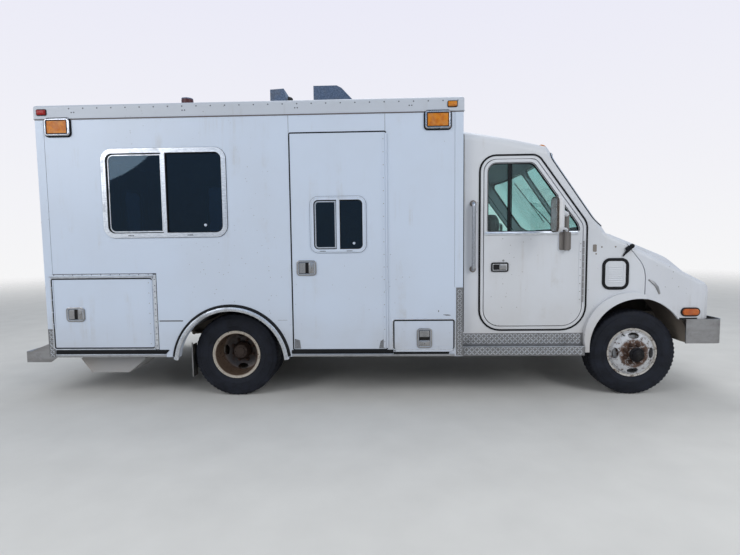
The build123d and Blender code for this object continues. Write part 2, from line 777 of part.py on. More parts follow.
for side in (RIGHT, LEFT):
    a, b = side_band(side, lamp_inner_y, lamp_outer_y)
    bowl = window_face(a, b, lamp_low, lamp_high, 24)
    nose -= end_prism(bowl, front_axle_x + 560, front_axle_x + 700) - lamp_floor
    y0, y1 = side_band(side, pivot_y - lug_half, pivot_y + lug_half)
    lug = side_prism(Pos(pivot_x, pivot_z) * Circle(20), y0, y1)
    lug += slab(pivot_x - 14, front_axle_x + 640, y0, y1, pivot_z, nose_bottom + 40)
    lug -= across_cylinder(pivot_x, pivot_z, pivot_pin + pin_gap, y0 - 1, y1 + 1)
    nose += lug
keep("nose", nose)

# Cab floor, firewall, engine cover and seat stands are one pressed tub
firewall_x = front_axle_x - firewall_behind_front_axle
firewall_thickness = 30.0
tub_half = cab_half_width - cab_wall
cover_half = 400.0
cover_back = firewall_x - 260.0
cover_top = 1180.0
cover_skin = 18.0
seat_y = 600.0
seat_half = 250.0
seat_back_x = front_axle_x - 1330.0
stand_top = 985.0
tub = slab(cab_back_x, firewall_x, -tub_half, tub_half, rail_top, cab_floor_top)
tub += slab(firewall_x - firewall_thickness, firewall_x, -tub_half, tub_half, rail_top, 1380)
cover = slab(cover_back, firewall_x - 1, -cover_half, cover_half, rail_top, cover_top)
cover = fillet(cover.edges().filter_by(Axis.X).group_by(Axis.Z)[-1], radius=70)
tub += cover
tub -= slab(
    cover_back + cover_skin,
    firewall_x + 10,
    -cover_half + cover_skin,
    cover_half - cover_skin,
    rail_top - 10,
    cover_top - cover_skin - 50,
)
for side in (RIGHT, LEFT):
    tub += side_slab(
        side, seat_back_x + 60, seat_back_x + 470, seat_y - 200, seat_y + 200, cab_floor_top - 5, stand_top
    )
    tub += side_slab(
        side, seat_back_x + 20, seat_back_x + 60, seat_y - 200, seat_y + 200, stand_top - 60, 1480
    )
keep("cab_floor", tub)

# Seat cushions and backs
cushion_parts = []
for side in (RIGHT, LEFT):
    pad = side_slab(
        side, seat_back_x + 62, seat_back_x + 560, seat_y - seat_half, seat_y + seat_half, stand_top + seat_gap, 1105
    )
    cushion_parts.append(fillet(pad.edges().filter_by(Axis.Z), radius=40).solid())
    back = side_slab(
        side,
        seat_back_x + 60 + seat_gap,
        seat_back_x + 185,
        seat_y - seat_half + 10,
        seat_y + seat_half - 10,
        1106,
        1680,
    )
    cushion_parts.append(fillet(back.edges().filter_by(Axis.X), radius=50).solid())
keep("seat_cushions", Compound(children=cushion_parts))

# Dashboard runs the cab's width and reaches forward to the windshield
wall_face_x = firewall_x - firewall_thickness
dash_rows = [
    (wall_face_x, 1130.0, 0.0),
    (wall_face_x - 250, 1150.0, 40.0),
    (wall_face_x - 280, 1330.0, 40.0),
    (wall_face_x - 200, 1420.0, 50.0),
    (wall_face_x + 170, 1440.0, 10.0),
    (wall_face_x + 170, 1400.0, 10.0),
    (wall_face_x, 1385.0, 0.0),
]
dash = side_prism(outline_face(dash_rows), -tub_half + 5, tub_half - 5)
dash &= leaning_front(cab_wall + 4, 1000, 1600)
dash -= slab(
    cover_back - 20, firewall_x, -cover_half - seat_gap, cover_half + seat_gap, 700, cover_top + seat_gap
)
column_y = 560.0
column_lean = math.radians(52)
wheel_hub = Vector(wall_face_x - 430, column_y, 1330)
column_dir = Vector(math.sin(column_lean), 0, -math.cos(column_lean))
column_start = wheel_hub + column_dir * 42
column_plane = Plane(origin=column_start, z_dir=column_dir)
column = extrude(column_plane * Circle(28), amount=330)
keep("dashboard", dash + column)

# Steering wheel: six-sided rim, three spokes and a hub with a short shaft
steering_rim = 215.0
wheel_plane = Plane(origin=wheel_hub, x_dir=(0, 1, 0), z_dir=column_dir)
rim_face = Plane.XZ * (Pos(steering_rim, 0) * RegularPolygon(15, 6))
steering = wheel_plane * revolve(rim_face, axis=Axis.Z)
hub = extrude(wheel_plane.offset(0) * Circle(38), amount=42 - seat_gap)
steering += hub
for n in range(3):
    angle = math.radians(90 + n * 120)
    spoke = wheel_plane * Rot(0, 0, math.degrees(angle)) * Pos(steering_rim / 2 + 10, 0, 6) * Box(
        steering_rim - 24, 26, 10
    )
    steering += spoke
keep("steering_wheel", steering)

# Cab doors carry their glass and a mirror on a bracket
cab_door_inner = cab_half_width - cab_wall + door_gap
cab_door_face = cab_half_width + 5
cab_hinge_x = front_axle_x + door_rows[1][0] - door_frame_width
door_glass_thickness = 5.0
mirror_low = 1472.0
mirror_high = 1758.0
mirror_inner = cab_half_width + 175
mirror_width = 150.0
mirror_back_x = front_axle_x - 839
mirror_depth = 64.0
mirror_outer = mirror_inner + mirror_width
for name, side in (("cab_door_right", RIGHT), ("cab_door_left", LEFT)):
    y0, y1 = side_band(side, cab_door_inner, cab_door_face)
    leaf = side_prism(cab_outline(door_rows, door_frame_width + door_gap), y0, y1)
    leaf -= side_prism(cab_outline(glass_rows), y0 - 1, y1 + 1)
    leaf += upright_hinge(side, cab_hinge_x, -1, cab_door_face, 860, 1400, 36.0)
    leaf += paddle_latch(side, front_axle_x - 1216, 1176, cab_door_face, 149, 81)
    leaf += side_slab(
        side, front_axle_x - 708, front_axle_x - 606, cab_door_face, cab_door_face + 12, 1320, 1478
    )
    post_x = front_axle_x - 650
    post_y = side * (cab_door_face + 28)
    post_top = (post_x, post_y, 1622)
    leaf += tube_path(
        [(post_x, post_y, 1335), post_top, (mirror_back_x + 32, side * (mirror_inner + 20), 1660)], 17, 20
    )
    leaf += tube_path(
        [
            (post_x, post_y, 1480),
            (post_x - 20, side * (cab_half_width + 80), 1500),
            (mirror_back_x + 32, side * (mirror_inner + 20), 1520),
        ],
        9,
        20,
    )
    a, b = side_band(side, mirror_inner, mirror_outer)
    head = end_prism(window_face(a, b, mirror_low, mirror_high, 48), mirror_back_x, mirror_back_x + mirror_depth)
    leaf += fillet(head.edges().group_by(Axis.X)[-1], radius=mirror_depth * 0.45)
    keep(name, leaf)
    g0, g1 = side_band(side, cab_door_inner + 12, cab_door_inner + 12 + door_glass_thickness)
    keep(name + "_glass", side_prism(cab_outline(glass_rows, seat_gap), g0, g1))

# Running boards under the cab doors, bent from plate; rows: out from the centre plane, up
step_plate = 16.0
step_reach = 50.0
tread_back = cab_bottom - 105
tread_front = cab_bottom - 113
step_rows = [
    (cab_half_width - step_reach, cab_bottom),
    (cab_half_width, cab_bottom),
    (cab_half_width, tread_back),
    (cab_half_width + step_reach, tread_front),
    (cab_half_width + step_reach, tread_front - 80),
    (cab_half_width + step_reach - step_plate, tread_front - 80),
    (cab_half_width + step_reach - step_plate, tread_front - step_plate),
    (cab_half_width - step_plate, tread_back - step_plate),
    (cab_half_width - step_plate, cab_bottom - step_plate),
    (cab_half_width - step_reach, cab_bottom - step_plate),
]
step_front_x = front_arch_x - flare_shift_x - flare_radius - 1
steps = []
for side in (RIGHT, LEFT):
    face = make_face(Polyline(*[(side * y, z) for y, z in step_rows], close=True))
    steps.append(end_prism(face, cab_back_x, step_front_x).solid())
keep("side_steps", Compound(children=steps))

# Grab bars behind the cab doors
grab_x = front_axle_x - 1452
bars = []
for side in (RIGHT, LEFT):
    wall_y = side * cab_half_width
    out_y = side * (cab_half_width + 45)
    bars.append(
        tube_path(
            [(grab_x, wall_y, 1160), (grab_x, out_y, 1160), (grab_x, out_y, 1735), (grab_x, wall_y, 1735)],
            17,
            24,
        )
    )
keep("grab_bars", Compound(children=[b.solid() for b in bars]))

# Warning lamps on the corners of the body, and clearance lamps over the cab
lamp_proud = 24.0
lamp_solids = []
for side in (RIGHT, LEFT):
    for x0, x1 in ((box_back_x + 102, box_back_x + 310), (box_front_x - 323, box_front_x - 115)):
        y0, y1 = side_band(side, box_half_width, box_half_width + lamp_proud)
        lamp_solids.append(side_prism(window_face(x0, x1, 2368, 2507, 12), y0, y1).solid())
for y in (-800.0, -400.0, 0.0, 400.0, 800.0):
    lamp = end_prism(window_face(y - 90, y + 90, 2425, 2492, 12), box_front_x, box_front_x + lamp_proud)
    lamp_solids.append(lamp.solid())
for y in (-760.0, 760.0):
    lamp = end_prism(window_face(y - 110, y + 110, 2380, 2500, 12), box_back_x - lamp_proud, box_back_x)
    lamp_solids.append(lamp.solid())
    for low, high in ((1130, 1250), (980, 1100), (830, 950)):
        y0, y1 = sorted((y * 1.24 - 85, y * 1.24 + 85))
        lamp = end_prism(window_face(y0, y1, low, high, 12), box_back_x - lamp_proud, box_back_x)
        lamp_solids.append(lamp.solid())
keep("body_lamps", Compound(children=lamp_solids))

# Roof vents near the right edge: a small fan box and a wedge-shaped hood
vent_length = 280.0
vent_y0 = 160.0 - box_half_width
vent_y1 = vent_y0 + vent_length
beacon_y = 370.0 - box_half_width
vent_hood_height = 165.0
fan_height = 158.0
fan_face = make_face(
    Polyline(
        (rear_axle_x + 365, box_top),
        (rear_axle_x + 365, box_top + fan_height - 7),
        (rear_axle_x + 488, box_top + fan_height),
        (rear_axle_x + 520, box_top),
        close=True,
    )
)
hood_face = make_face(
    Polyline(
        (rear_axle_x + 760, box_top),
        (rear_axle_x + 760, box_top + vent_hood_height),
        (rear_axle_x + 968, box_top + vent_hood_height),
        (rear_axle_x + 1010, box_top + vent_hood_height - 22),
        (rear_axle_x + 1145, box_top),
        close=True,
    )
)
fan = side_prism(fan_face, vent_y0 + 30, vent_y1 - 20)
vent_hood = side_prism(hood_face, vent_y0, vent_y1)
beacon = upright_cylinder(rear_axle_x - 465, beacon_y, 52, box_top, 2774)
keep("roof_vents", Compound(children=[fan.solid(), vent_hood.solid(), beacon.solid()]))

# Front bumper: bent plate that wraps both sides
bumper_low = 490.0
bumper_high = 705.0
bumper_thickness = 12.0
bumper_half = 1118.0
bumper_back_x = front_axle_x + 405


def bumper_plan(inset):
    """Plan of the front bumper, moved in by an inset and open at the back."""
    return outline_face(
        [
            (bumper_back_x - (1 if inset else 0), -bumper_half + inset, 0.0),
            (bumper_front_x - inset, -bumper_half + inset, 60.0 - inset),
            (bumper_front_x - inset, bumper_half - inset, 60.0 - inset),
            (bumper_back_x - (1 if inset else 0), bumper_half - inset, 0.0),
        ]
    )


front_bumper = plan_prism(bumper_plan(0), bumper_low, bumper_high)
front_bumper -= plan_prism(bumper_plan(bumper_thickness), bumper_low - 1, bumper_high + 1)
keep("front_bumper", front_bumper)

# Rear step bumper: tread plate on side gussets behind the body
step_back_x = rear_axle_x - rear_overhang
rear_bumper_half = 1080.0
rear_tread_top = 460.0
gusset_face = make_face(
    Polyline(
        (step_back_x, 330),
        (step_back_x, 415),
        (box_back_x, 530),
        (box_back_x, 372),
        (box_back_x - 60, 330),
        close=True,
    )
)
rear_bumper = slab(
    step_back_x, box_back_x, -rear_bumper_half, rear_bumper_half, rear_tread_top - 40, rear_tread_top - 28
)
rear_bumper += slab(
    step_back_x, step_back_x + 14, -rear_bumper_half, rear_bumper_half, 330, rear_tread_top - 28
)
for side in (RIGHT, LEFT):
    y0, y1 = side_band(side, rear_bumper_half - 12, rear_bumper_half)
    rear_bumper += side_prism(gusset_face, y0, y1)
    y0, y1 = side_band(side, rail_inner_y, rail_outer_y)
    rear_bumper += slab(box_back_x - 150, box_back_x, y0, y1, 350, rear_tread_top - 28)
keep("rear_bumper", rear_bumper)

# Ladder frame: two channels, crossmembers, bumper brackets and the nose hinge brackets
rail_front_x = front_axle_x + 560
frame = Part()
channel_rows = [
    (rail_outer_y, rail_bottom),
    (rail_outer_y, rail_top),
    (rail_inner_y, rail_top),
    (rail_inner_y, rail_top - rail_web),
    (rail_outer_y - rail_web, rail_top - rail_web),
    (rail_outer_y - rail_web, rail_bottom + rail_web),
    (rail_inner_y, rail_bottom + rail_web),
    (rail_inner_y, rail_bottom),
]
for side in (RIGHT, LEFT):
    face = make_face(Polyline(*[(side * y, z) for y, z in channel_rows], close=True))
    frame += end_prism(face, box_back_x + box_wall, rail_front_x)
# rows: crossmember centre, low, high
crossmembers = [
    (box_back_x + box_wall + 40, rail_bottom, rail_top - 20),
    (rear_axle_x - 620, rail_bottom + 90, rail_top - 20),
    (rear_axle_x + 620, rail_bottom + 90, rail_top - 20),
    (rear_axle_x + 1700, rail_bottom + 20, rail_bottom + 70),
    (front_axle_x - 200, rail_bottom, rail_bottom + 40),
    (front_axle_x + 500, rail_bottom, rail_bottom + 70),
]
for x, low, high in crossmembers:
    frame += slab(x - 40, x + 40, -rail_outer_y + rail_web, rail_outer_y - rail_web, low, high)
bracket_half_gap = lug_half + 2.0
for side in (RIGHT, LEFT):
    y0, y1 = side_band(side, rail_inner_y, rail_outer_y)
    frame += slab(
        rail_front_x - 60, bumper_front_x - bumper_thickness, y0, y1, rail_bottom + 15, rail_bottom + 105
    )
    for near, far in ((bracket_half_gap, bracket_half_gap + 10), (-bracket_half_gap - 10, -bracket_half_gap)):
        c0, c1 = side_band(side, pivot_y + near, pivot_y + far)
        cheek = side_prism(Pos(pivot_x, pivot_z) * Circle(20), c0, c1)
        cheek += slab(pivot_x - 20, pivot_x + 20, c0, c1, rail_bottom + 100, pivot_z)
        frame += cheek
    p0, p1 = side_band(side, pivot_y - bracket_half_gap - 5, pivot_y + bracket_half_gap + 5)
    frame += across_cylinder(pivot_x, pivot_z, pivot_pin, p0, p1)

# Leaf springs: three bent leaves each; rows: axle x, inner y, seat height, eye height, half span
spring_width = 62.0
leaf_steps = 3
leaf_depth = 14.0
axle_z = tyre_radius
front_beam_top = axle_z + 8
rear_tube_radius = 58.0
spring_rows = [
    (front_axle_x, rail_inner_y, front_beam_top, rail_bottom - 40, 560.0),
    (rear_axle_x, rail_outer_y + 8, axle_z + rear_tube_radius, rail_bottom + 12, 620.0),
]
spring_eye = 20.0


def leaf_face(x, seat_z, eye_z, half, level):
    """One leaf as a band between two arcs, shorter on each lower level."""
    reach = half * (1 - 0.28 * level)
    rise = (eye_z - seat_z - leaf_steps * leaf_depth) * (reach / half) ** 2
    top = seat_z + leaf_depth * (leaf_steps - level)
    lower = ThreePointArc(
        (x - reach, top - leaf_depth + rise), (x, top - leaf_depth), (x + reach, top - leaf_depth + rise)
    )
    upper = ThreePointArc((x - reach, top + rise), (x, top), (x + reach, top + rise))
    ends = [Line(lower @ 0, upper @ 0), Line(lower @ 1, upper @ 1)]
    return make_face(Curve() + [lower, upper, *ends])


springs = []
for x, inner_y, seat_z, eye_z, half in spring_rows:
    for side in (RIGHT, LEFT):
        y0, y1 = side_band(side, inner_y, inner_y + spring_width)
        pack = Part()
        for level in range(leaf_steps):
            pack += side_prism(leaf_face(x, seat_z, eye_z, half, level), y0, y1)
        for end_x in (x - half, x + half):
            pack += across_cylinder(end_x, eye_z - leaf_depth / 2, spring_eye, y0, y1)
            h0, h1 = side_band(side, inner_y - 8, inner_y)
            hanger = slab(end_x - 24, end_x + 24, h0, h1, eye_z - leaf_depth / 2 - 24, rail_bottom + 60)
            if inner_y > rail_outer_y - 1:
                frame += hanger
            else:
                frame += slab(end_x - 24, end_x + 24, h0, h1, eye_z - leaf_depth / 2 - 24, rail_bottom + 6)
        springs.append(pack.solid())
keep("leaf_springs", Compound(children=springs))
keep("ladder_frame", frame)

# Front axle: a forged beam dropped in the middle, with a bored boss at each kingpin
boss_radius = 34.0
boss_low = axle_z - 50
boss_high = axle_z + 50
kingpin_radius = 18.0
beam = slab(front_axle_x - 36, front_axle_x + 36, -kingpin_y, kingpin_y, axle_z - 58, axle_z - 42)
beam += slab(
    front_axle_x - 36, front_axle_x + 36, -kingpin_y + 60, kingpin_y - 60, axle_z - 8, front_beam_top
)
beam += slab(front_axle_x - 10, front_axle_x + 10, -kingpin_y, kingpin_y, axle_z - 58, front_beam_top)
for side in (RIGHT, LEFT):
    y = side * kingpin_y
    a, b = sorted((side * (kingpin_y - boss_radius - 8), side * (kingpin_y + boss_radius + 8)))
    beam -= slab(front_axle_x - 60, front_axle_x + 60, a, b, boss_low - 40, boss_high + 40)
    a, b = sorted((side * (kingpin_y - boss_radius - 12), side * (kingpin_y - boss_radius + 10)))
    beam += slab(front_axle_x - 20, front_axle_x + 20, a, b, boss_low, boss_high - 40)
    beam += upright_cylinder(front_axle_x, y, boss_radius, boss_low, boss_high)
    beam -= upright_cylinder(front_axle_x, y, kingpin_radius + pin_gap, boss_low - 60, boss_high + 60)

# Steering knuckles: two ears on the kingpin and the wheel spindle
spindle_radius = 32.0
ear_gap = 6.0
ear_thickness = 26.0
front_hub_out = wheel_offset + 48
carrier_y = kingpin_y + boss_radius + ear_gap
spindle_end = front_tyre_y + wheel_offset + 10
for name, side in (("knuckle_right", RIGHT), ("knuckle_left", LEFT)):
    y = side * kingpin_y
    body = Part()
    for low in (boss_low - ear_gap - ear_thickness, boss_high + ear_gap):
        body += upright_cylinder(front_axle_x, y, boss_radius, low, low + ear_thickness)
        a, b = sorted((y, side * (carrier_y + 24)))
        body += slab(front_axle_x - boss_radius, front_axle_x + boss_radius, a, b, low, low + ear_thickness)
    a, b = sorted((side * carrier_y, side * (carrier_y + 24)))
    top = boss_high + ear_gap + ear_thickness
    body += slab(
        front_axle_x - boss_radius, front_axle_x + boss_radius, a, b, boss_low - ear_gap - ear_thickness, top
    )
    body += upright_cylinder(
        front_axle_x, y, kingpin_radius, boss_low - ear_gap - 10, boss_high + ear_gap + 10
    )
    a, b = sorted((side * carrier_y, side * spindle_end))
    body += across_cylinder(front_axle_x, axle_z, spindle_radius, a, b)
    keep(name, body)

# Rear axle: round tubes, a bulged gear housing and the wheel spindles
rear_spindle = 45.0
rear_tube_end = rear_inner_tyre_y - 95
rear_axle = across_cylinder(rear_axle_x, axle_z, rear_tube_radius, -rear_tube_end, rear_tube_end)
rear_axle += across_cylinder(rear_axle_x, axle_z, rear_spindle, -rear_hub_y - 40, rear_hub_y + 40)
housing_rows = [(0.0, -150.0), (90.0, -150.0), (165.0, -70.0), (165.0, 70.0), (90.0, 150.0), (0.0, 150.0)]
rear_axle += spin_profile(housing_rows, LEFT, rear_axle_x, 0, axle_z)
pinion_front_x = rear_axle_x + 260
rear_axle += along_cylinder(0, axle_z, 70, rear_axle_x, pinion_front_x)
keep("axles", Compound(children=[beam.solid(), rear_axle.solid()]))

# Tyres and steel disc wheels; rows: radius, distance out from the tyre's middle plane
tread_half = tyre_width / 2 - 20
tyre_rows = [
    (rim_radius + seat_gap, -75.0),
    (rim_radius + 92, -tyre_width / 2),
    (tyre_radius, -tread_half),
    (tyre_radius, tread_half),
    (rim_radius + 92, tyre_width / 2),
    (rim_radius + seat_gap, 75.0),
]
disc_thickness = 10.0
# rows: radius and distance out of the disc's outer face, from the rim to the flat that the hub carries
disc_face_rows = [
    (rim_radius - 9, 80.0),
    (184.0, 104.0),
    (150.0, 119.0),
    (118.0, wheel_offset),
]


def disc_wheel_rows(hub_radius):
    """Section of a wheel: barrel with lips and a disc dished out to its mounting face."""
    barrel = [(rim_lip_radius, -88.0), (rim_radius, -75.0), (rim_radius, 75.0), (rim_lip_radius, 88.0)]
    middle = [(hub_radius, wheel_offset), (hub_radius, wheel_offset - disc_thickness)]
    back = [(r - 4, d - disc_thickness) for r, d in reversed(disc_face_rows[1:])]
    edge = [(rim_radius - 9, 64.0), (rim_radius - 9, -88.0)]
    return barrel + disc_face_rows + middle + back + edge


disc_bore = 58.0
hand_holes = 4
hand_hole_along = 50.0
hand_hole_across = 27.0
hand_hole_circle = 158.0


def disc_wheel(side, facing, x, y):
    """A wheel whose disc faces outward (+1) or inward (-1) of the van."""
    wheel = spin_profile(disc_wheel_rows(disc_bore), side * facing, x, side * y, axle_z)
    oval = Pos(hand_hole_circle, 0) * Ellipse(hand_hole_across, hand_hole_along)
    a, b = sorted((side * (y + facing * 50), side * (y + facing * 140)))
    for n in range(hand_holes):
        hole = Pos(x, axle_z) * Rot(0, 0, n * 360 / hand_holes) * oval
        wheel -= side_prism(hole, a, b)
    return wheel


front_drum = 158.0
for name, side in (("front_right", RIGHT), ("front_left", LEFT)):
    tyre = spin_profile(tyre_rows, side, front_axle_x, side * front_tyre_y, axle_z)
    keep("tyre_" + name, tyre)
    wheel = disc_wheel(side, 1, front_axle_x, front_tyre_y)
    inner = carrier_y + 30 - front_tyre_y
    hub_rows = [
        (spindle_radius + pin_gap, inner),
        (front_drum, inner),
        (front_drum, inner + 60),
        (70.0, inner + 60),
        (62.0, front_hub_out),
        (0.0, front_hub_out),
        (0.0, wheel_offset + 12),
        (spindle_radius + pin_gap, wheel_offset + 12),
    ]
    wheel += spin_profile(hub_rows, side, front_axle_x, side * front_tyre_y, axle_z)
    keep("wheel_" + name, wheel)

rear_drum = 170.0
for name, side in (("rear_right", RIGHT), ("rear_left", LEFT)):
    twin = []
    for y in (rear_inner_tyre_y, rear_outer_tyre_y):
        twin.append(spin_profile(tyre_rows, side, rear_axle_x, side * y, axle_z).solid())
    keep("tyres_" + name, Compound(children=twin))
    pair = disc_wheel(side, 1, rear_axle_x, rear_inner_tyre_y) + disc_wheel(
        side, -1, rear_axle_x, rear_outer_tyre_y
    )
    hub_rows = [
        (rear_spindle + pin_gap, rear_tube_end + 6),
        (rear_drum, rear_tube_end + 6),
        (rear_drum, rear_tube_end + 90),
        (86.0, rear_tube_end + 90),
        (86.0, rear_hub_y + 50),
        (60.0, rear_hub_y + 90),
        (0.0, rear_hub_y + 90),
        (0.0, rear_hub_y + 46),
        (rear_spindle + pin_gap, rear_hub_y + 46),
    ]
    pair += spin_profile(hub_rows, side, rear_axle_x, 0, axle_z)
    keep("wheels_" + name, pair)

# Powertrain: engine, radiator, gearbox, driveshaft and exhaust as plain masses in their real places
engine_back_x = firewall_x - 120
gearbox_back_x = firewall_x - 720
engine = slab(engine_back_x, front_axle_x + 250, -310, 310, rail_bottom + 40, 1100)
radiator = slab(front_axle_x + 475, front_axle_x + 535, -360, 360, rail_bottom + 70, 1010)
gearbox_face = window_face(-150, 150, rail_bottom - 70, rail_top - 20, 40)
gearbox = end_prism(gearbox_face, gearbox_back_x, engine_back_x - seat_gap)
shaft = along_cylinder(0, axle_z + 60, 42, pinion_front_x + seat_gap, gearbox_back_x - seat_gap)
silencer = along_cylinder(240, 420, 90, rear_axle_x + 900, rear_axle_x + 1500)
silencer += along_cylinder(240, 420, 30, rear_axle_x + 700, engine_back_x + 60)
silencer += upright_cylinder(engine_back_x + 60, 240, 30, 420, rail_bottom + 40 - seat_gap)
masses = [engine, radiator, gearbox, shaft, silencer]
keep("powertrain", Compound(children=[m.solid() for m in masses]))

# Fuel tank hung outside the left rail, behind the body's front wall
tank_front = box_front_x - 310
tank_length = 1000.0
tank_inner = rail_outer_y + seat_gap
tank = side_slab(LEFT, tank_front - tank_length, tank_front, tank_inner, rail_outer_y + 520, 380, 640)
keep("fuel_tank", fillet(tank.edges().filter_by(Axis.X), radius=60))

os.makedirs("parts", exist_ok=True)
for name, shape in made.items():
    print(name, len(shape.solids()), round(shape.volume / 1e6, 1), shape.bounding_box())
    export_step(shape, os.path.join("parts", name + ".step"))
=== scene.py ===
import math

import bmesh
import bpy
import numpy as np
from mathutils import Matrix


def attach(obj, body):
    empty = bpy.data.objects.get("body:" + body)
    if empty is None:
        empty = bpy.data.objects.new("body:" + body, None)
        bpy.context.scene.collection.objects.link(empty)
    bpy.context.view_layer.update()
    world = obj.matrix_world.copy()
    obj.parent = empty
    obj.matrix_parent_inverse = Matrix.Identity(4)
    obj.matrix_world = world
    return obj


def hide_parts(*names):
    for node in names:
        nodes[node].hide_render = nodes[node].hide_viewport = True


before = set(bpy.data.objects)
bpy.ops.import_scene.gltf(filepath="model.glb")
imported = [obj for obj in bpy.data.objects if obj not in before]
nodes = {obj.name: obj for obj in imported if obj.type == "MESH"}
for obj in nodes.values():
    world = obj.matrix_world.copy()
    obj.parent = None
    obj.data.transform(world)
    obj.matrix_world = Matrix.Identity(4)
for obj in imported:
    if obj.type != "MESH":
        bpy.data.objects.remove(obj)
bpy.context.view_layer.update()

# Place where the van stands: a pale smooth floor, and a surround that lights the van evenly from all round.
# The surround is white to the camera and through glass, and a blue sky over grey ground in gloss.
def add_node(tree, kind, settings=(), **sockets):
    """Adds a shader node; each socket gets a number, a colour or another node's output; i2 is the third."""
    made = tree.nodes.new("ShaderNode" + kind)
    for name, value in dict(settings).items():
        setattr(made, name, value)
    for name, value in sockets.items():
        numbered = name[0] == "i" and name[1:].isdigit()
        socket = made.inputs[int(name[1:])] if numbered else made.inputs[name.replace("_", " ")]
        if isinstance(value, bpy.types.NodeSocket):
            tree.links.new(value, socket)
        else:
            socket.default_value = value
    return made


def shade(red, green, blue):
    """Colour from the 0 to 255 values that it should show."""
    return tuple(((c / 255 + 0.055) / 1.055) ** 2.4 if c > 10 else c / 255 / 12.92 for c in (red, green, blue)) + (1.0,)


def new_finish(name, **sockets):
    """Material with one Principled shader; constants are set on the shader's own sockets."""
    finish = bpy.data.materials.new(name)
    finish.use_nodes = True
    shader = finish.node_tree.nodes["Principled BSDF"]
    for socket, value in sockets.items():
        shader.inputs[socket.replace("_", " ")].default_value = value
    return finish, finish.node_tree, shader


def span(tree, value, low, high, to_low=0.0, to_high=1.0):
    """Smooth step of a value from one range to another."""
    settings = {"interpolation_type": "SMOOTHSTEP"}
    return add_node(tree, "MapRange", settings, Value=value, i1=low, i2=high, i3=to_low, i4=to_high).outputs[0]


def calc(tree, operation, first, second=0.0, third=0.0):
    """One sum on two or three values."""
    return add_node(tree, "Math", {"operation": operation}, i0=first, i1=second, i2=third).outputs[0]


def tint(tree, mask, under, over, mode="MIX"):
    """One colour laid over another where the mask is high."""
    settings = {"data_type": "RGBA", "blend_type": mode}
    return add_node(tree, "Mix", settings, i0=mask, i6=under, i7=over).outputs[2]


def object_spot(tree):
    """The point of the surface in the van's own frame."""
    return add_node(tree, "TexCoord").outputs["Object"]


def feed(tree, shader, colour, gloss=None, height=None, depth=0.0004, strength=0.4):
    """Leads a colour, a roughness and a bump height that change over the surface to the shader."""
    tree.links.new(colour, shader.inputs["Base Color"])
    if gloss is not None:
        tree.links.new(gloss, shader.inputs["Roughness"])
    if height is not None:
        bump = add_node(tree, "Bump", Height=height, Distance=depth, Strength=strength)
        tree.links.new(bump.outputs[0], shader.inputs["Normal"])


floor_finish, tree, shader = new_finish("pale_floor", Roughness=0.85)
spot = object_spot(tree)
grain = add_node(tree, "TexNoise", Vector=spot, Scale=3.0, Detail=4.0).outputs[0]
feed(tree, shader, tint(tree, grain, shade(206, 206, 204), shade(222, 222, 220)))
from_middle = add_node(tree, "VectorMath", {"operation": "LENGTH"}, Vector=spot).outputs["Value"]
fade_start, fade_end, half_floor = 6.0, 24.0, 60.0
tree.links.new(span(tree, from_middle, fade_start, fade_end, 1.0, 0.0), shader.inputs["Alpha"])
floor_mesh = bpy.data.meshes.new("floor")
floor_corners = [(x * half_floor, y * half_floor, 0) for x, y in ((-1, -1), (1, -1), (1, 1), (-1, 1))]
floor_mesh.from_pydata(floor_corners, [], [(0, 1, 2, 3)])
floor_mesh.materials.append(floor_finish)
floor_piece = bpy.data.objects.new("floor", floor_mesh)
bpy.context.scene.collection.objects.link(floor_piece)

surround = bpy.data.worlds.new("surround")
surround.use_nodes = True
bpy.context.scene.world = surround
tree = surround.node_tree
tree.nodes.clear()
rays = add_node(tree, "LightPath").outputs
seen = calc(tree, "MAXIMUM", rays["Is Camera Ray"], rays["Is Glossy Ray"])
seen = calc(tree, "MAXIMUM", seen, rays["Is Transmission Ray"])
up = add_node(tree, "SeparateXYZ", Vector=add_node(tree, "TexCoord").outputs["Generated"]).outputs["Z"]
sky_tone = add_node(tree, "MapRange", Value=up, i1=-0.1, i2=0.6, i3=0.93, i4=0.80).outputs[0]
sky = add_node(tree, "CombineColor", i0=sky_tone, i1=sky_tone, i2=0.93).outputs[0]
blue_sky = tint(tree, calc(tree, "MULTIPLY", up, 2.0), (0.42, 0.46, 0.52, 1.0), (0.44, 0.62, 0.90, 1.0))
mirrored = calc(tree, "SUBTRACT", rays["Is Glossy Ray"], rays["Is Transmission Ray"])
shown = add_node(tree, "Background", Color=tint(tree, mirrored, sky, blue_sky), Strength=1.0)
soft = add_node(tree, "Background", Color=(0.93, 0.96, 1.0, 1.0), Strength=0.50)
mixed = add_node(tree, "MixShader", i0=seen, i1=soft.outputs[0], i2=shown.outputs[0])
add_node(tree, "OutputWorld", Surface=mixed.outputs[0])

# Lamps: two wide soft panels ahead and behind on the right and one overhead, as in a plain studio.
# Each is turned toward the van's middle.
van_middle = (0.3, 0.0, 1.2)
lamp_rows = (
    ("front_panel", (6.0, -7.0, 5.5), 5.0, 250.0),
    ("rear_panel", (-6.5, -6.5, 5.0), 5.0, 210.0),
    ("top_panel", (0.5, 3.0, 8.5), 6.0, 300.0),
)
for name, place, width, power in lamp_rows:
    lamp = bpy.data.lights.new(name, "AREA")
    lamp.shape = "DISK"
    lamp.size = width
    lamp.energy = power
    holder = bpy.data.objects.new(name, lamp)
    bpy.context.scene.collection.objects.link(holder)
    away = np.array(place) - np.array(van_middle)
    pitch = math.atan2(math.hypot(away[0], away[1]), away[2])
    holder.location = place
    holder.rotation_euler = (pitch, 0.0, math.atan2(away[0], -away[1]))

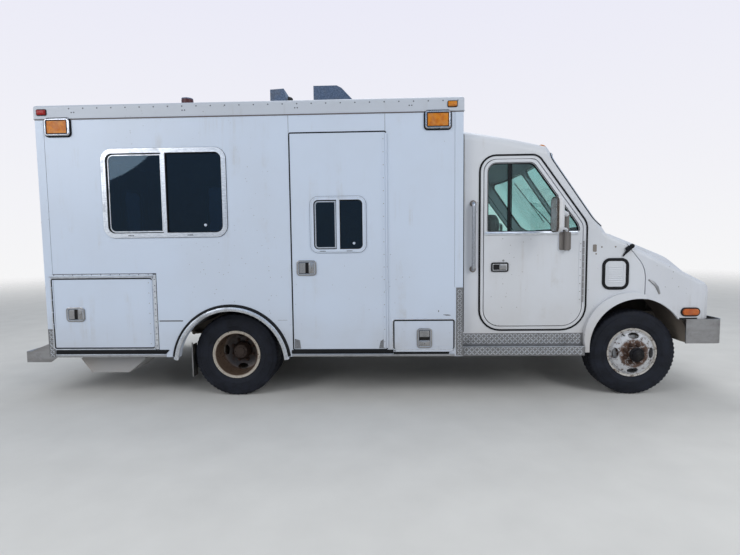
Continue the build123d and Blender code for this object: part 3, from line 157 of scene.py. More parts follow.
# Camera: at standing height beside the van's right side, a wide lens turned a little toward the rear.
# Its turns are yaw about the upright axis, then pitch, then roll, and it looks along the frame's +Y.
yaw, pitch, roll = 0.0331, -0.0741, 0.0114
turn_yaw = np.array([[math.cos(yaw), -math.sin(yaw), 0], [math.sin(yaw), math.cos(yaw), 0], [0, 0, 1]])
turn_pitch = np.array([[1, 0, 0], [0, math.cos(pitch), -math.sin(pitch)], [0, math.sin(pitch), math.cos(pitch)]])
turn_roll = np.array([[math.cos(roll), 0, math.sin(roll)], [0, 1, 0], [-math.sin(roll), 0, math.cos(roll)]])
turned = turn_yaw @ turn_pitch @ turn_roll
lens = bpy.data.cameras.new("view")
lens.lens = 22.37
lens.sensor_width = 36.0
lens.sensor_fit = "HORIZONTAL"
camera = bpy.data.objects.new("view", lens)
bpy.context.scene.collection.objects.link(camera)
axes = np.eye(4)
axes[:3, 0], axes[:3, 1], axes[:3, 2] = turned[:, 0], turned[:, 2], -turned[:, 1]
axes[:3, 3] = (0.1945, -5.1868, 1.3977)
camera.matrix_world = Matrix(axes.tolist())
bpy.context.scene.camera = camera
bpy.context.scene.view_settings.view_transform = "Standard"

# Body walls: flat riveted sheets under old white enamel, with rain streaks, road dust low down and small chips.
# Each wall is edged by folded corner posts, and the paint of every painted panel starts from this one.
front_axle = 2.4195
rear_axle = -1.1875
body_face = 1.170
body_back = -2.8575
body_front = 0.8725
SIDES = ((-1, "right"), (1, "left"))


def noise(tree, where, scale, detail=4.0, rough=0.55, stretch=(1, 1, 1)):
    """Cloudy value at a scale per metre, stretched along the axes."""
    placed = add_node(tree, "Mapping", Vector=where, Scale=stretch).outputs[0]
    return add_node(tree, "TexNoise", Vector=placed, Scale=scale, Detail=detail, Roughness=rough).outputs[0]


def new_group(name, inputs, outputs):
    """Shader group with named sockets; rows: name, kind, value."""
    group = bpy.data.node_groups.new(name, "ShaderNodeTree")
    for label, kind, value in inputs:
        group.interface.new_socket(label, in_out="INPUT", socket_type="NodeSocket" + kind).default_value = value
    for label, kind in outputs:
        group.interface.new_socket(label, in_out="OUTPUT", socket_type="NodeSocket" + kind)
    return group, group.nodes.new("NodeGroupInput").outputs, group.nodes.new("NodeGroupOutput").inputs


weather, given, put = new_group(
    "weathering",
    (
        ("Paint", "Color", shade(222, 228, 236)),
        ("Stain", "Color", shade(150, 138, 120)),
        ("Streaks", "Float", 0.3),
        ("Dust", "Float", 0.4),
        ("Dust Top", "Float", 0.9),
        ("Chips", "Float", 0.5),
        ("Gloss", "Float", 0.3),
    ),
    (("Colour", "Color"), ("Roughness", "Float"), ("Height", "Float")),
)
where = object_spot(weather)
height = add_node(weather, "SeparateXYZ", Vector=where).outputs["Z"]
cloud = noise(weather, where, 1.4, 5.0)
fine = noise(weather, where, 55.0, 3.0)
streaks = span(weather, noise(weather, where, 1.0, 7.0, 0.65, (11, 11, 0.8)), 0.50, 0.72)
patch = span(weather, noise(weather, where, 2.3, 6.0, 0.7), 0.46, 0.68)
low_down = span(weather, height, given["Dust Top"], 0.35, 0.0, 1.0)
powder = calc(weather, "MULTIPLY", low_down, span(weather, cloud, 0.3, 0.75, 0.35, 1.0))
spots = add_node(weather, "TexVoronoi", Vector=where, Scale=23.0, Randomness=1.0)
chip = calc(weather, "MULTIPLY", span(weather, spots.outputs["Distance"], 0.10, 0.06), span(weather, cloud, 0.50, 0.60))
base = tint(weather, calc(weather, "MULTIPLY", span(weather, cloud, 0.35, 0.7), 0.09), given["Paint"], given["Stain"])
base = tint(
    weather,
    calc(weather, "MULTIPLY", calc(weather, "MULTIPLY", streaks, patch), given["Streaks"]),
    base,
    given["Stain"],
)
base = tint(weather, calc(weather, "MULTIPLY", powder, given["Dust"]), base, shade(160, 150, 138))
base = tint(weather, calc(weather, "MULTIPLY", chip, given["Chips"]), base, shade(84, 74, 66))
weather.links.new(base, put["Colour"])
dull = calc(weather, "MULTIPLY_ADD", powder, 0.3, given["Gloss"])
weather.links.new(calc(weather, "ADD", dull, calc(weather, "MULTIPLY", fine, 0.12)), put["Roughness"])
weather.links.new(calc(weather, "SUBTRACT", calc(weather, "MULTIPLY", fine, 0.25), chip), put["Height"])


def weathered(name, paint, stain, streaks=0.3, dust=0.4, dust_top=0.9, chips=0.5, gloss=0.3, **constants):
    """Weathered finish over one colour."""
    finish, tree, shader = new_finish(name, **constants)
    socket_values = {"Streaks": streaks, "Dust": dust, "Dust_Top": dust_top, "Chips": chips, "Gloss": gloss}
    worn = add_node(tree, "Group", {"node_tree": weather}, Paint=paint, Stain=stain, **socket_values).outputs
    feed(tree, shader, worn["Colour"], worn["Roughness"], worn["Height"], 0.0006, 0.5)
    return finish


def finish_node(finish, *names):
    """Gives carried-over frame parts their finish."""
    for name in names:
        if not nodes[name].material_slots:
            nodes[name].data.materials.append(finish)
        for slot in nodes[name].material_slots:
            slot.material = finish


# The body enamel's blue-grey cast is painted cool shade: white paint as it looks under an open sky.
enamel = weathered("body_enamel_cool_shade", shade(200, 212, 230), shade(168, 160, 148), streaks=0.35, dust=0.45, chips=0.6)
finish_node(enamel, "box_wall_right", "box_wall_left", "box_front_wall", "box_rear_frame", "entry_door")
finish_node(enamel, "rear_locker_door_right", "rear_locker_door_left", "front_locker_door")
finish_node(enamel, "rear_door_right", "rear_door_left")


def faced(points, quads):
    """Turns closed shells outwards: the sum of each face's point dotted with its area is made positive."""
    a, b, c, d = (points[quads[:, k]] for k in range(4))
    volume = np.einsum("ij,ij->", a + b + c + d - 4 * points.mean(0), np.cross(c - a, d - b))
    return points, quads if volume > 0 else quads[:, ::-1]


def shell(grid, wrap_rows=False, wrap_columns=True):
    """Faces over a grid of points (rows, columns, 3), each point joined to the next along both ways."""
    rows, columns, _ = grid.shape
    r, c = np.meshgrid(np.arange(rows - (not wrap_rows)), np.arange(columns - (not wrap_columns)), indexing="ij")
    r2, c2 = (r + 1) % rows, (c + 1) % columns
    quads = np.stack([r * columns + c, r * columns + c2, r2 * columns + c2, r2 * columns + c], -1).reshape(-1, 4)
    return faced(grid.reshape(-1, 3), quads)


def build(name, shapes, body, finish, sharp=32.0):
    """Puts shells into one mesh, closes their seams and poles, and rides it on its body."""
    starts = np.cumsum([0] + [len(points) for points, _ in shapes[:-1]])
    mesh = bpy.data.meshes.new(name)
    points = np.vstack([points for points, _ in shapes])
    quads = np.vstack([quads + start for (_, quads), start in zip(shapes, starts)])
    mesh.from_pydata(points.tolist(), [], quads.tolist())
    work = bmesh.new()
    work.from_mesh(mesh)
    bmesh.ops.remove_doubles(work, verts=work.verts, dist=2e-6)
    work.to_mesh(mesh)
    work.free()
    mesh.shade_smooth()
    mesh.set_sharp_from_angle(angle=math.radians(sharp))
    mesh.materials.append(finish)
    piece = bpy.data.objects.new(name, mesh)
    bpy.context.scene.collection.objects.link(piece)
    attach(piece, body)
    return piece


def rounded(corners, inset=0.0, steps=6):
    """Outline of straight runs joined by arcs; corner rows are (across, up, radius).

    Each corner moves in along the sum of its two edges' inward normals, and its arc turns from one edge to the next.
    """
    rows = np.array(corners, float)
    spot = rows[:, :2]
    along = np.roll(spot, -1, 0) - spot
    along /= np.linalg.norm(along, axis=1)[:, None]
    turning = np.sign(np.sum(spot[:, 0] * np.roll(spot[:, 1], -1) - np.roll(spot[:, 0], -1) * spot[:, 1]))
    inward = turning * np.column_stack([-along[:, 1], along[:, 0]])
    before = np.roll(inward, 1, 0)
    both = before + inward
    moved = spot + inset * both / (1 + np.sum(before * inward, 1))[:, None]
    radius = np.maximum(rows[:, 2] - inset, 0.0004)
    start = np.arctan2(-before[:, 1], -before[:, 0])
    sweep = np.arctan2(
        before[:, 0] * inward[:, 1] - before[:, 1] * inward[:, 0], np.sum(before * inward, 1)
    )
    middle = moved + both / (1 + np.cos(sweep))[:, None] * radius[:, None]
    angle = start[:, None] + sweep[:, None] * np.linspace(0, 1, steps)
    arcs = middle[:, None] + radius[:, None, None] * np.stack([np.cos(angle), np.sin(angle)], -1)
    return arcs.reshape(-1, 2)


def oblong(a0, a1, b0, b1, radius):
    """Corner rows of a rounded rectangle."""
    return ((a0, b0, radius), (a1, b0, radius), (a1, b1, radius), (a0, b1, radius))


def on_side(side, face=body_face):
    """Takes (along, up, out) to a side face at that distance from the centre plane."""
    return lambda p: np.stack([p[..., 0], side * (face + p[..., 2]), p[..., 1]], -1)


def on_end(face, facing):
    """Takes (across, up, out) to an end face looking forward (+1) or back (-1)."""
    return lambda p: np.stack([face + facing * p[..., 2], p[..., 0], p[..., 1]], -1)


def on_top(face):
    """Takes (along, across, out) to a level face."""
    return lambda p: np.stack([p[..., 0], p[..., 1], face + p[..., 2]], -1)


def rings(corners, levels, steps):
    """The outline repeated at each (inset, height) row."""
    made = [
        np.column_stack([rounded(corners, inset, steps), np.full(len(corners) * steps, out)])
        for inset, out in levels
    ]
    return np.stack(made)


def pad(corners, levels, place, steps=6):
    """Closed plate: outlines at (inset, height) rows, with both ends drawn to a point at the middle."""
    stack = rings(corners, levels, steps)
    ends = np.repeat(stack[[0, -1]].mean(1, keepdims=True), stack.shape[1], 1)
    return shell(place(np.concatenate([ends[:1], stack, ends[1:]])))


def hoop(corners, levels, place, steps=8):
    """Closed frame: a section of (inset, height) rows carried round an outline."""
    return shell(place(rings(corners, levels, steps)), wrap_rows=True)


def plate(corners, thick, place, edge=0.0008, low=-0.0004, steps=6):
    """Sheet with a softened edge, let a hair into what it lies on."""
    return pad(corners, ((0.0, low), (0.0, thick - edge), (edge, thick)), place, steps)


def spun(section, sides, place=lambda p: p):
    """A section of (radius, out) rows turned all the way round."""
    turn = np.linspace(0, 2 * math.pi, sides, endpoint=False)
    rows = np.asarray(section, float)
    grid = np.stack([rows[:, :1] * np.cos(turn), rows[:, :1] * np.sin(turn), rows[:, 1:] + 0 * turn], -1)
    return shell(place(grid))


def scattered(unit, quads, spots, place):
    """Copies of one closed shape, each moved in the face's own plane; spots are (across, up) rows."""
    shift = np.column_stack([np.asarray(spots, float), np.zeros(len(spots))])
    points = place(unit[None] + shift[:, None]).reshape(-1, 3)
    return faced(points, (quads[None] + np.arange(len(spots))[:, None, None] * len(unit)).reshape(-1, 4))


def studs(spots, radius, rise, place, sides=10):
    """Domed heads: a quarter-round section turned about each spot."""
    section = np.array([[0, -0.1], [1, -0.1], [1, 0.2], [0.85, 0.65], [0.5, 0.92], [0, 1]])
    return scattered(*spun(section * (radius, rise), sides), spots, place)


def row_of(first, last, pitch, other, upright=False):
    """Evenly spaced spots between two ends, along or up."""
    count = max(2, int(round(abs(last - first) / pitch)) + 1)
    run = np.linspace(first, last, count)
    still = np.full(count, other)
    return np.column_stack([still, run] if upright else [run, still])


post_feet = {"right": (0.660, 1.008), "left": (0.402, 0.402)}
post_width, post_top = 0.074, 2.506
for side, word in SIDES:
    face = on_side(side)
    back_foot, front_foot = post_feet[word]
    posts = [
        plate(oblong(body_back + 0.001, body_back + post_width, back_foot, post_top, 0.002), 0.0016, face),
        plate(oblong(body_front - 0.072, body_front - 0.001, front_foot, post_top, 0.002), 0.0016, face),
    ]
    build("corner_posts_" + word, posts, "body", enamel)
    spots = [row_of(0.70, 2.47, 0.11, body_back + 0.058, True), row_of(1.05, 2.47, 0.11, body_front - 0.056, True)]
    spots.append(row_of(body_back + 0.10, body_front - 0.10, 0.10, 2.495))
    heads = studs(np.vstack(spots), 0.0048, 0.0022, on_side(side, body_face + 0.0014))
    build("wall_rivets_" + word, [heads], "body", enamel)

# Panel seams: narrow beads of dirty sealant where two sheets meet, proud by less than a millimetre.
# Some edge the corner posts, rise over the entry doorway or run level with the lockers, and three are scrapes.
sealant = weathered(
    "seam_sealant", shade(112, 116, 122), shade(70, 66, 60), streaks=0.6, dust=0.2, chips=0.2, gloss=0.6
)
groove_low, groove_high, seam_top = 0.7248, 0.7272, 2.5035
for side, word in SIDES:
    back_foot, front_foot = post_feet[word]
    lines = [
        oblong(-1.8635, rear_axle - 0.425, groove_low, groove_high, 0.0005),
        oblong(body_back + 0.0745, body_back + 0.0762, back_foot, seam_top, 0.0005),
        oblong(body_front - 0.0742, body_front - 0.0725, front_foot, seam_top, 0.0005),
    ]
    if side < 0:
        lines.append(oblong(rear_axle + 0.425, -0.677, groove_low, groove_high, 0.0005))
        lines += [oblong(x - 0.0016, x + 0.0016, 2.352, seam_top, 0.0005) for x in (-0.6295, 0.2035)]
        lines.append(oblong(-1.829, -1.617, 0.7190, 0.7310, 0.004))
        lines.append(((0.688, 0.7680, 0.002), (0.730, 0.7570, 0.002), (0.778, 0.7600, 0.002), (0.742, 0.7690, 0.002)))
        lines.append(oblong(0.655, 0.664, 0.790, 0.806, 0.003))
    beads = [plate(corners, 0.0009, on_side(side), 0.0003) for corners in lines]
    build("panel_seams_" + word, beads, "body", sealant)

# Roof lid: a shallow folded cap over all four walls, with a rivet row and a small drip lip along its lower edge.
# Its top is chalky and stained where water stands.
cap_paint = weathered(
    "roof_enamel", shade(188, 195, 206), shade(140, 136, 130), streaks=0.4, dust=0.1, chips=0.8, gloss=0.4
)
finish_node(cap_paint, "box_roof")
cap_face = 1.175
cap_end = 0.005
cap_low, cap_lip_top, cap_rivet_z = 2.5102, 2.5152, 2.597
cap_pieces, cap_rivets, cap_lip_shadows = [], [], []
for side, _ in SIDES:
    spots = row_of(body_back + 0.313, body_front - 0.05, 0.124, cap_rivet_z)
    screws = row_of(body_back + 0.345, body_front - 0.45, 0.98, 2.563)
    heads = np.vstack([spots, screws - (0.011, 0), screws + (0.011, 0)])
    cap_rivets.append(studs(heads, 0.0062, 0.0022, on_side(side, cap_face)))
    under = ((0.0, -0.0004), (0.0, 0.0044), (0.001, 0.0049))
    # A dark brown band just under the drip lip is painted shadow of the lip.
    cap_lip_shadows.append(pad(oblong(body_back, body_front, 2.5025, 2.5096, 0.001), under, on_side(side)))
    lip = ((0.0, -0.002), (0.0, 0.0036), (0.0012, 0.0044), (0.0022, 0.0044))
    lip_line = oblong(body_back - 0.004, body_front + 0.004, cap_low, cap_lip_top, 0.002)
    cap_pieces.append(pad(lip_line, lip, on_side(side, cap_face)))
for face, facing in ((body_back - cap_end, -1), (body_front + cap_end, 1)):
    cap_rivets.append(studs(row_of(-1.10, 1.10, 0.131, cap_rivet_z), 0.0062, 0.0022, on_end(face, facing)))
    cap_pieces.append(plate(oblong(-1.172, 1.172, cap_low, cap_lip_top, 0.002), 0.0044, on_end(face, facing)))
build("roof_cap_trim", cap_pieces, "body", cap_paint)
rivet_grey = weathered("rivet_grey", shade(92, 96, 106), shade(74, 62, 54), streaks=0.5, dust=0.2, chips=0.3, gloss=0.5)
build("roof_cap_rivets", cap_rivets, "body", rivet_grey)
# Dark brown, streaked finish of the painted shadow under the drip lip.
lip_shadow_brown = weathered("lip_shadow_brown", shade(104, 96, 96), shade(86, 56, 48), streaks=0.9, dust=0.2, chips=0.3, gloss=0.7)
build("roof_cap_lip_shadow", cap_lip_shadows, "body", lip_shadow_brown)

# Side windows: extruded bright aluminium frames screwed to the wall, with black rubber channels round dark glass.
# Two sliding panes meet behind the middle bar, and black patches on the bottom rail are painted shade for its drain
# slots.
def metal(name, light, dark, scratch=(1, 1, 40), rough=0.32, smudge=0.35):
    """Brushed metal: a stretched grain turns its colour and gloss, with dull oxide patches."""
    finish, tree, shader = new_finish(name, Metallic=0.92)
    where = object_spot(tree)
    grain = noise(tree, where, 30.0, 3.0, 0.6, scratch)
    oxide = span(tree, noise(tree, where, 6.0, 6.0, 0.7), 0.48, 0.70)
    colour = tint(tree, span(tree, grain, 0.3, 0.7), light, dark)
    colour = tint(tree, calc(tree, "MULTIPLY", oxide, smudge), colour, shade(120, 116, 110))
    feed(tree, shader, colour, calc(tree, "MULTIPLY_ADD", oxide, 0.25, rough), grain, 0.0003, 0.35)
    return finish


def soft_black(name, colour, dusty, rough=0.6, bumps=140.0):
    """Rubber or moulded plastic: near black with grey dust in its fine grain."""
    finish, tree, shader = new_finish(name, Specular_IOR_Level=0.22)
    where = object_spot(tree)
    dust = span(tree, noise(tree, where, 7.0, 6.0, 0.65), 0.42, 0.75)
    gloss = calc(tree, "MULTIPLY_ADD", dust, 0.2, rough)
    feed(tree, shader, tint(tree, dust, colour, dusty), gloss, noise(tree, where, bumps, 3.0))
    return finish


bright = metal("window_aluminium", shade(226, 228, 231), shade(196, 199, 204), (1, 1, 6), 0.34, 0.25)
rubber = soft_black("black_rubber", shade(13, 13, 15), shade(30, 30, 32))
finish_node(bright, "box_window_frames")


def glazing(name, colour, grime, smear=0.03):
    """Sheet glass of one tint, a little hazed with grime."""
    finish, tree, shader = new_finish(name, Transmission_Weight=1.0, IOR=1.45, Metallic=0.0)
    film = span(tree, noise(tree, object_spot(tree), 3.0, 7.0, 0.7), 0.40, 0.80)
    hazed = tint(tree, calc(tree, "MULTIPLY", film, 0.5), colour, grime)
    feed(tree, shader, hazed, calc(tree, "MULTIPLY_ADD", film, smear, 0.015))
    return finish


dark_glass = glazing("dark_glass", shade(44, 66, 88), shade(84, 96, 106))
dark_sockets = dark_glass.node_tree.nodes["Principled BSDF"].inputs
dark_sockets["Coat Weight"].default_value = 0.2
dark_sockets["Specular Tint"].default_value = (0.42, 0.72, 1.0, 1.0)
finish_node(dark_glass, "box_window_glass", "entry_door_glass", "rear_door_right_glass", "rear_door_left_glass")


def window_trim(spec, radius, width, bar_half, place):
    """Rubber channels, inner sash lips, black patches of painted shade for the drain slots, and screws of one window;
    spec is its outer frame.
    """
    x0, x1, z0, z1 = spec
    outline = oblong(x0, x1, z0, z1, radius)
    middle = (x0 + x1) / 2
    black = [
        hoop(outline, ((-0.0025, -0.001), (-0.0025, 0.0032), (0.0, 0.0040), (0.0006, -0.001)), place),
        hoop(
            outline,
            ((width - 0.0005, 0.0015), (width + 0.0075, 0.0), (width + 0.0075, -0.0115), (width, -0.0115)),
            place,
        ),
    ]
    low, high = z0 + width, z1 - width
    for edge in (middle - bar_half, middle + bar_half):
        side_of = math.copysign(0.006, edge - middle)
        a, b = sorted((edge, edge + side_of))
        black.append(pad(oblong(a, b, low, high, 0.0015), ((0.0, -0.0118), (0.0, -0.002), (0.001, -0.001)), place))
    # Drain slots: black patches on the bottom rail, painted shade of the openings.
    for x in (middle - 0.28 * (x1 - x0), middle + 0.2 * (x1 - x0)):
        black.append(
            plate(
                oblong(x - 0.026, x + 0.026, z0 + 0.40 * width, z0 + 0.56 * width, 0.003), 0.0098, place, 0.0004, 0.0080
            )
        )
    sash = oblong(x0 + width + 0.008, middle - bar_half - 0.006, low + 0.008, high - 0.008, radius - width - 0.008)
    square = [(a, b, r if a < middle - 0.2 * (x1 - x0) else 0.004) for a, b, r in sash]
    silver = [hoop(square, ((0.0, -0.0118), (0.0, -0.0080), (0.0105, -0.0080), (0.0105, -0.0118)), place)]
    pitch, mid_rail = 0.16, width * 0.5
    across = [row_of(x0 + radius, x1 - radius, pitch, z) for z in (z0 + mid_rail, z1 - mid_rail)]
    upright = [row_of(z0 + radius, z1 - radius, pitch, x, True) for x in (x0 + mid_rail, x1 - mid_rail)]
    silver.append(studs(np.vstack(across + upright), 0.0040, 0.0012, lambda p: place(p + (0, 0, 0.0090))))
    groove = hoop(
        outline, ((width * 0.30, 0.0088), (width * 0.30, 0.0104), (width * 0.36, 0.0104), (width * 0.36, 0.0088)), place
    )
    return black, silver + [groove]


big_window = (rear_axle - 1.100, rear_axle + 0.005, 1.470, 2.246)
for side, word in SIDES:
    place = on_side(side)
    black, silver = window_trim(big_window, 0.100, 0.040, 0.016, place)
    build("window_rubber_" + word, black, "body", rubber)
    build("window_sash_" + word, silver, "body", bright)
    knob_spot = [(big_window[1] - 0.20, big_window[2] + 0.105)]
    knob = studs(knob_spot, 0.013, 0.012, on_side(side, body_face - 0.0115), 16)
    build("window_knob_" + word, [knob], "body", enamel)

# Entry door: a flush aluminium leaf with its own small sliding window and a pressed steel paddle latch.
# A piano hinge runs up its front edge beside a row of screws, and scuffed sheet patches its two lower corners.
steel = metal("latch_steel", shade(176, 174, 172), shade(140, 138, 138), (8, 8, 8), 0.36, 0.5)
socket_dark = soft_black("latch_recess", shade(22, 21, 22), shade(44, 42, 40), 0.7)


def latch(middle, size, upright, place):
    """Paddle latch: a raised rim, a dark finger well, the paddle on one side and the keyed plate on the other.

    Lengths run along the latch from its paddle end; upright turns that end to the top.
    """
    long_way, short_way = size

    def turned(corner_rows):
        return [(middle[0] + (-v if upright else u), middle[1] + (-u if upright else v), r) for u, v, r in corner_rows]

    half, wide = long_way / 2, short_way / 2
    rim = hoop(
        turned(oblong(-half, half, -wide, wide, 0.026)),
        ((-0.001, 0.0005), (-0.001, 0.0078), (0.003, 0.0100), (0.010, 0.0100), (0.014, 0.0065), (0.0155, 0.0035)),
        place,
    )
    well = plate(turned(oblong(-half + 0.014, half - 0.014, -wide + 0.014, wide - 0.014, 0.012)), 0.0040, place)
    paddle = pad(
        turned(oblong(-half + 0.021, -0.010, -wide + 0.022, wide - 0.022, 0.006)),
        ((0.0, 0.0035), (0.0, 0.0072), (0.003, 0.0092), (0.012, 0.0088)),
        place,
    )
    keyed = pad(
        turned(oblong(0.020, half - 0.017, -wide + 0.018, wide - 0.018, 0.010)),
        ((0.0, 0.0035), (0.0, 0.0060), (0.002, 0.0072)),
        place,
    )
    spot = turned([(half - 0.040, 0.0, 0.0)])[0][:2]
    section = [[0, 0.006], [0.012, 0.006], [0.012, 0.0105], [0.0095, 0.0115], [0.008, 0.0095], [0, 0.0095]]
    key = scattered(*spun(section, 20), [spot], place)
    corners = [(u, v) for u in (-half + 0.010, half - 0.010) for v in (-wide + 0.010, wide - 0.010)]
    screws = studs(
        [turned([(u, v, 0)])[0][:2] for u, v in corners], 0.0035, 0.0012, lambda p: place(p + (0, 0, 0.0092))
    )
    # The key slot is a dark sliver on the key face: painted shade of the slot.
    key_slot_shade = pad(
        [
            (spot[0] + a, spot[1] + b, 0.0004)
            for a, b in ((-0.001, -0.005), (0.001, -0.005), (0.001, 0.005), (-0.001, 0.005))
        ],
        ((0.0, 0.0090), (0.0, 0.0099)),
        place,
    )
    return [rim, paddle, keyed, key, screws], [well, key_slot_shade]


def fit_latch(name, middle, size, upright, place, body):
    """Both parts of a latch on its door."""
    shiny, hollow = latch(middle, size, upright, place)
    build(name + "_latch", shiny, body, steel)
    build(name + "_latch_well", hollow, body, socket_dark)


right = on_side(-1)
entry_open = (-0.6205, 0.2035, 0.465, 2.347)
black, silver = window_trim((-0.4545, 0.0325, 1.320, 1.808), 0.070, 0.030, 0.014, right)
build("entry_window_rubber", black, "entry_door", rubber)
build("entry_window_sash", silver, "entry_door", bright)
entry_knob = studs([(-0.075, 1.400)], 0.012, 0.011, on_side(-1, body_face - 0.0115), 16)
build("entry_window_knob", [entry_knob], "entry_door", enamel)
fit_latch("entry_door", (-0.4955, 1.188), (0.172, 0.134), False, right, "entry_door")
patches = [
    plate(
        ((-0.615, 0.470, 0.002), (-0.560, 0.470, 0.004), (-0.568, 0.545, 0.004), (-0.615, 0.560, 0.004)), 0.0018, right
    ),
    plate(((0.135, 0.470, 0.004), (0.190, 0.470, 0.002), (0.190, 0.560, 0.004), (0.150, 0.535, 0.004)), 0.0018, right),
]
dull_plate = metal("dull_plate", shade(150, 150, 152), shade(118, 117, 118), (5, 5, 5), 0.5, 0.6)
build("entry_door_patches", patches, "entry_door", dull_plate)
hinge_screws = studs(row_of(0.53, 2.29, 0.11, 0.186, True), 0.0042, 0.0018, on_side(-1, body_face + 0.0030))
build("entry_hinge_screws", [hinge_screws], "entry_door", steel)
barrel = ((0.0, -0.0004), (0.0, 0.0030), (0.0018, 0.0052), (0.0036, 0.0060))
knuckles = [pad(oblong(0.2088, 0.2172, z, z + 0.050, 0.001), barrel, right) for z in np.arange(0.475, 2.290, 0.0545)]
build("entry_hinge", knuckles, "body", dull_plate)
seal_rows = (
    (-0.0108, -0.0004), (-0.0108, 0.0026), (-0.0010, 0.0026), (-0.0010, -0.018), (-0.0050, -0.018), (-0.0050, -0.0004)
)
door_seals = [hoop(oblong(*entry_open, 0.008), seal_rows, right)]

# Locker doors: flush sheet doors in thin bright trim, with paddle latches, under a riveted drip rail outlined in
# painted shadow.
# The two rear ones swing forward, and the small front one drops on a hinge along its lower edge.
rear_open = (-2.7915, -1.8925, 0.487, 1.103)
front_open = (0.2725, 0.7885, 0.453, 0.712)
thin_trim = (
    (-0.0215, -0.0004), (-0.0215, 0.0022), (-0.0200, 0.0034), (-0.0130, 0.0034), (-0.0110, 0.0014), (-0.0110, -0.0004)
)
for side, word in SIDES:
    place = on_side(side)
    trim = [
        hoop(oblong(*rear_open, 0.006), thin_trim, place, 3),
        pad(
            oblong(rear_open[0] - 0.024, rear_open[1] + 0.024, 1.1235, 1.1400, 0.003),
            ((0.0, -0.0004), (0.0, 0.0100), (0.004, 0.0145), (0.006, 0.0145)),
            place,
        ),
    ]
    strip_x = rear_open[1] + 0.0205
    # Black sheets a little wider than the hinge strip and the drip rail show round their edges as painted shadow.
    strip_shadows = [
        plate(oblong(strip_x - 0.004, strip_x + 0.031, rear_open[2] - 0.022, 1.1545, 0.002), 0.0012, place),
        plate(oblong(rear_open[0] - 0.024, strip_x, 1.1200, 1.1545, 0.002), 0.0012, place),
    ]
    build("rear_locker_backing_" + word, strip_shadows, "body", rubber)
    trim.append(plate(oblong(strip_x, strip_x + 0.026, rear_open[2] - 0.018, 1.142, 0.002), 0.0022, place))
    trim.append(plate(oblong(rear_open[0] - 0.020, strip_x, 1.1245, 1.1500, 0.002), 0.0022, place))
    rivets = [studs(row_of(0.50, 1.10, 0.055, strip_x + 0.013, True), 0.0052, 0.0046, place)]
    rivets.append(studs(row_of(rear_open[0] + 0.02, rear_open[1] - 0.02, 0.085, 1.1440), 0.0052, 0.0046, place))
    build("rear_locker_rivets_" + word, rivets, "body", rivet_grey)
    build("rear_locker_trim_" + word, trim, "body", bright)
    body = "rear_locker_door_" + word
    fit_latch("rear_locker_" + word, (-2.5905, 0.789), (0.167, 0.128), False, place, body)
    pins = studs(row_of(0.52, 1.07, 0.09, -1.913, True), 0.0040, 0.0018, on_side(side, body_face + 0.0030))
    build("rear_locker_screws_" + word, [pins], body, steel)
    door_seals.append(hoop(oblong(*rear_open, 0.008), seal_rows, place))
front_trim = [
    hoop(oblong(front_open[0], front_open[1], front_open[2] + 0.021, front_open[3], 0.006), thin_trim, right, 3)
]
front_trim.append(studs(row_of(0.32, 0.76, 0.105, 0.742), 0.0038, 0.0020, right))
build("front_locker_trim", front_trim, "body", bright)
fit_latch("front_locker", (0.5355, 0.560), (0.176, 0.131), True, right, "front_locker_door")
door_seals.append(
    hoop(oblong(front_open[0], front_open[1], front_open[2] + 0.012, front_open[3], 0.008), seal_rows, right)
)
build("door_seals", door_seals, "body", rubber)

# Lower edge of the body: a black rubber strip over an aluminium rail, broken by the wheel arches and a locker.
# Each arch has a rolled bright moulding with black rubber behind it, and road grime clings to all of it.
rail_metal = metal("rail_aluminium", shade(178, 178, 180), shade(150, 149, 148), (60, 3, 3), 0.42, 0.5)
strip_section = ((0.0, -0.0004), (0.0, 0.0040), (0.004, 0.0070), (0.007, 0.0076))
for side, word in SIDES:
    place = on_side(side)
    runs = [(rear_axle + 0.545, 0.262 if side < 0 else 0.760, 0.424, 0.458)]
    if side < 0:
        runs.append((0.262, 0.752, 0.414, 0.4375))
    strips = [pad(oblong(*run, 0.006), strip_section, place) for run in runs]
    strip_back = body_back + 0.0655
    slanted = (
        (strip_back, 0.4270, 0.004), (-1.780, 0.4270, 0.004), (-1.747, 0.4640, 0.004), (strip_back, 0.4640, 0.004)
    )
    strips.append(pad(slanted, strip_section, place))
    build("rub_strips_" + word, strips, "body", rubber)
    rails = [(body_back + 0.062, rear_axle - 0.592), (rear_axle + 0.550, 0.800)]
    edges = [pad(oblong(x0, x1, 0.3975, 0.4225, 0.002), strip_section[:3], place) for x0, x1 in rails]
    build("lower_rails_" + word, edges, "body", rail_metal)


def arch_run(centre, section, start, end, place, steps=72):
    """Section rows (radius, out) carried along an arc between two angles, with both ends drawn to a point."""
    rows = np.array(section)
    angle = np.radians(np.linspace(start, end, steps))
    reach = rows[:, 0][None] * np.ones((steps, 1))
    grid = np.stack(
        [
            centre[0] + reach * np.cos(angle)[:, None],
            centre[1] + reach * np.sin(angle)[:, None],
            rows[:, 1][None] + 0 * reach,
        ], -1
    )
    ends = np.repeat(grid[[0, -1]].mean(1, keepdims=True), len(rows), 1)
    return shell(place(np.concatenate([ends[:1], grid, ends[1:]])))


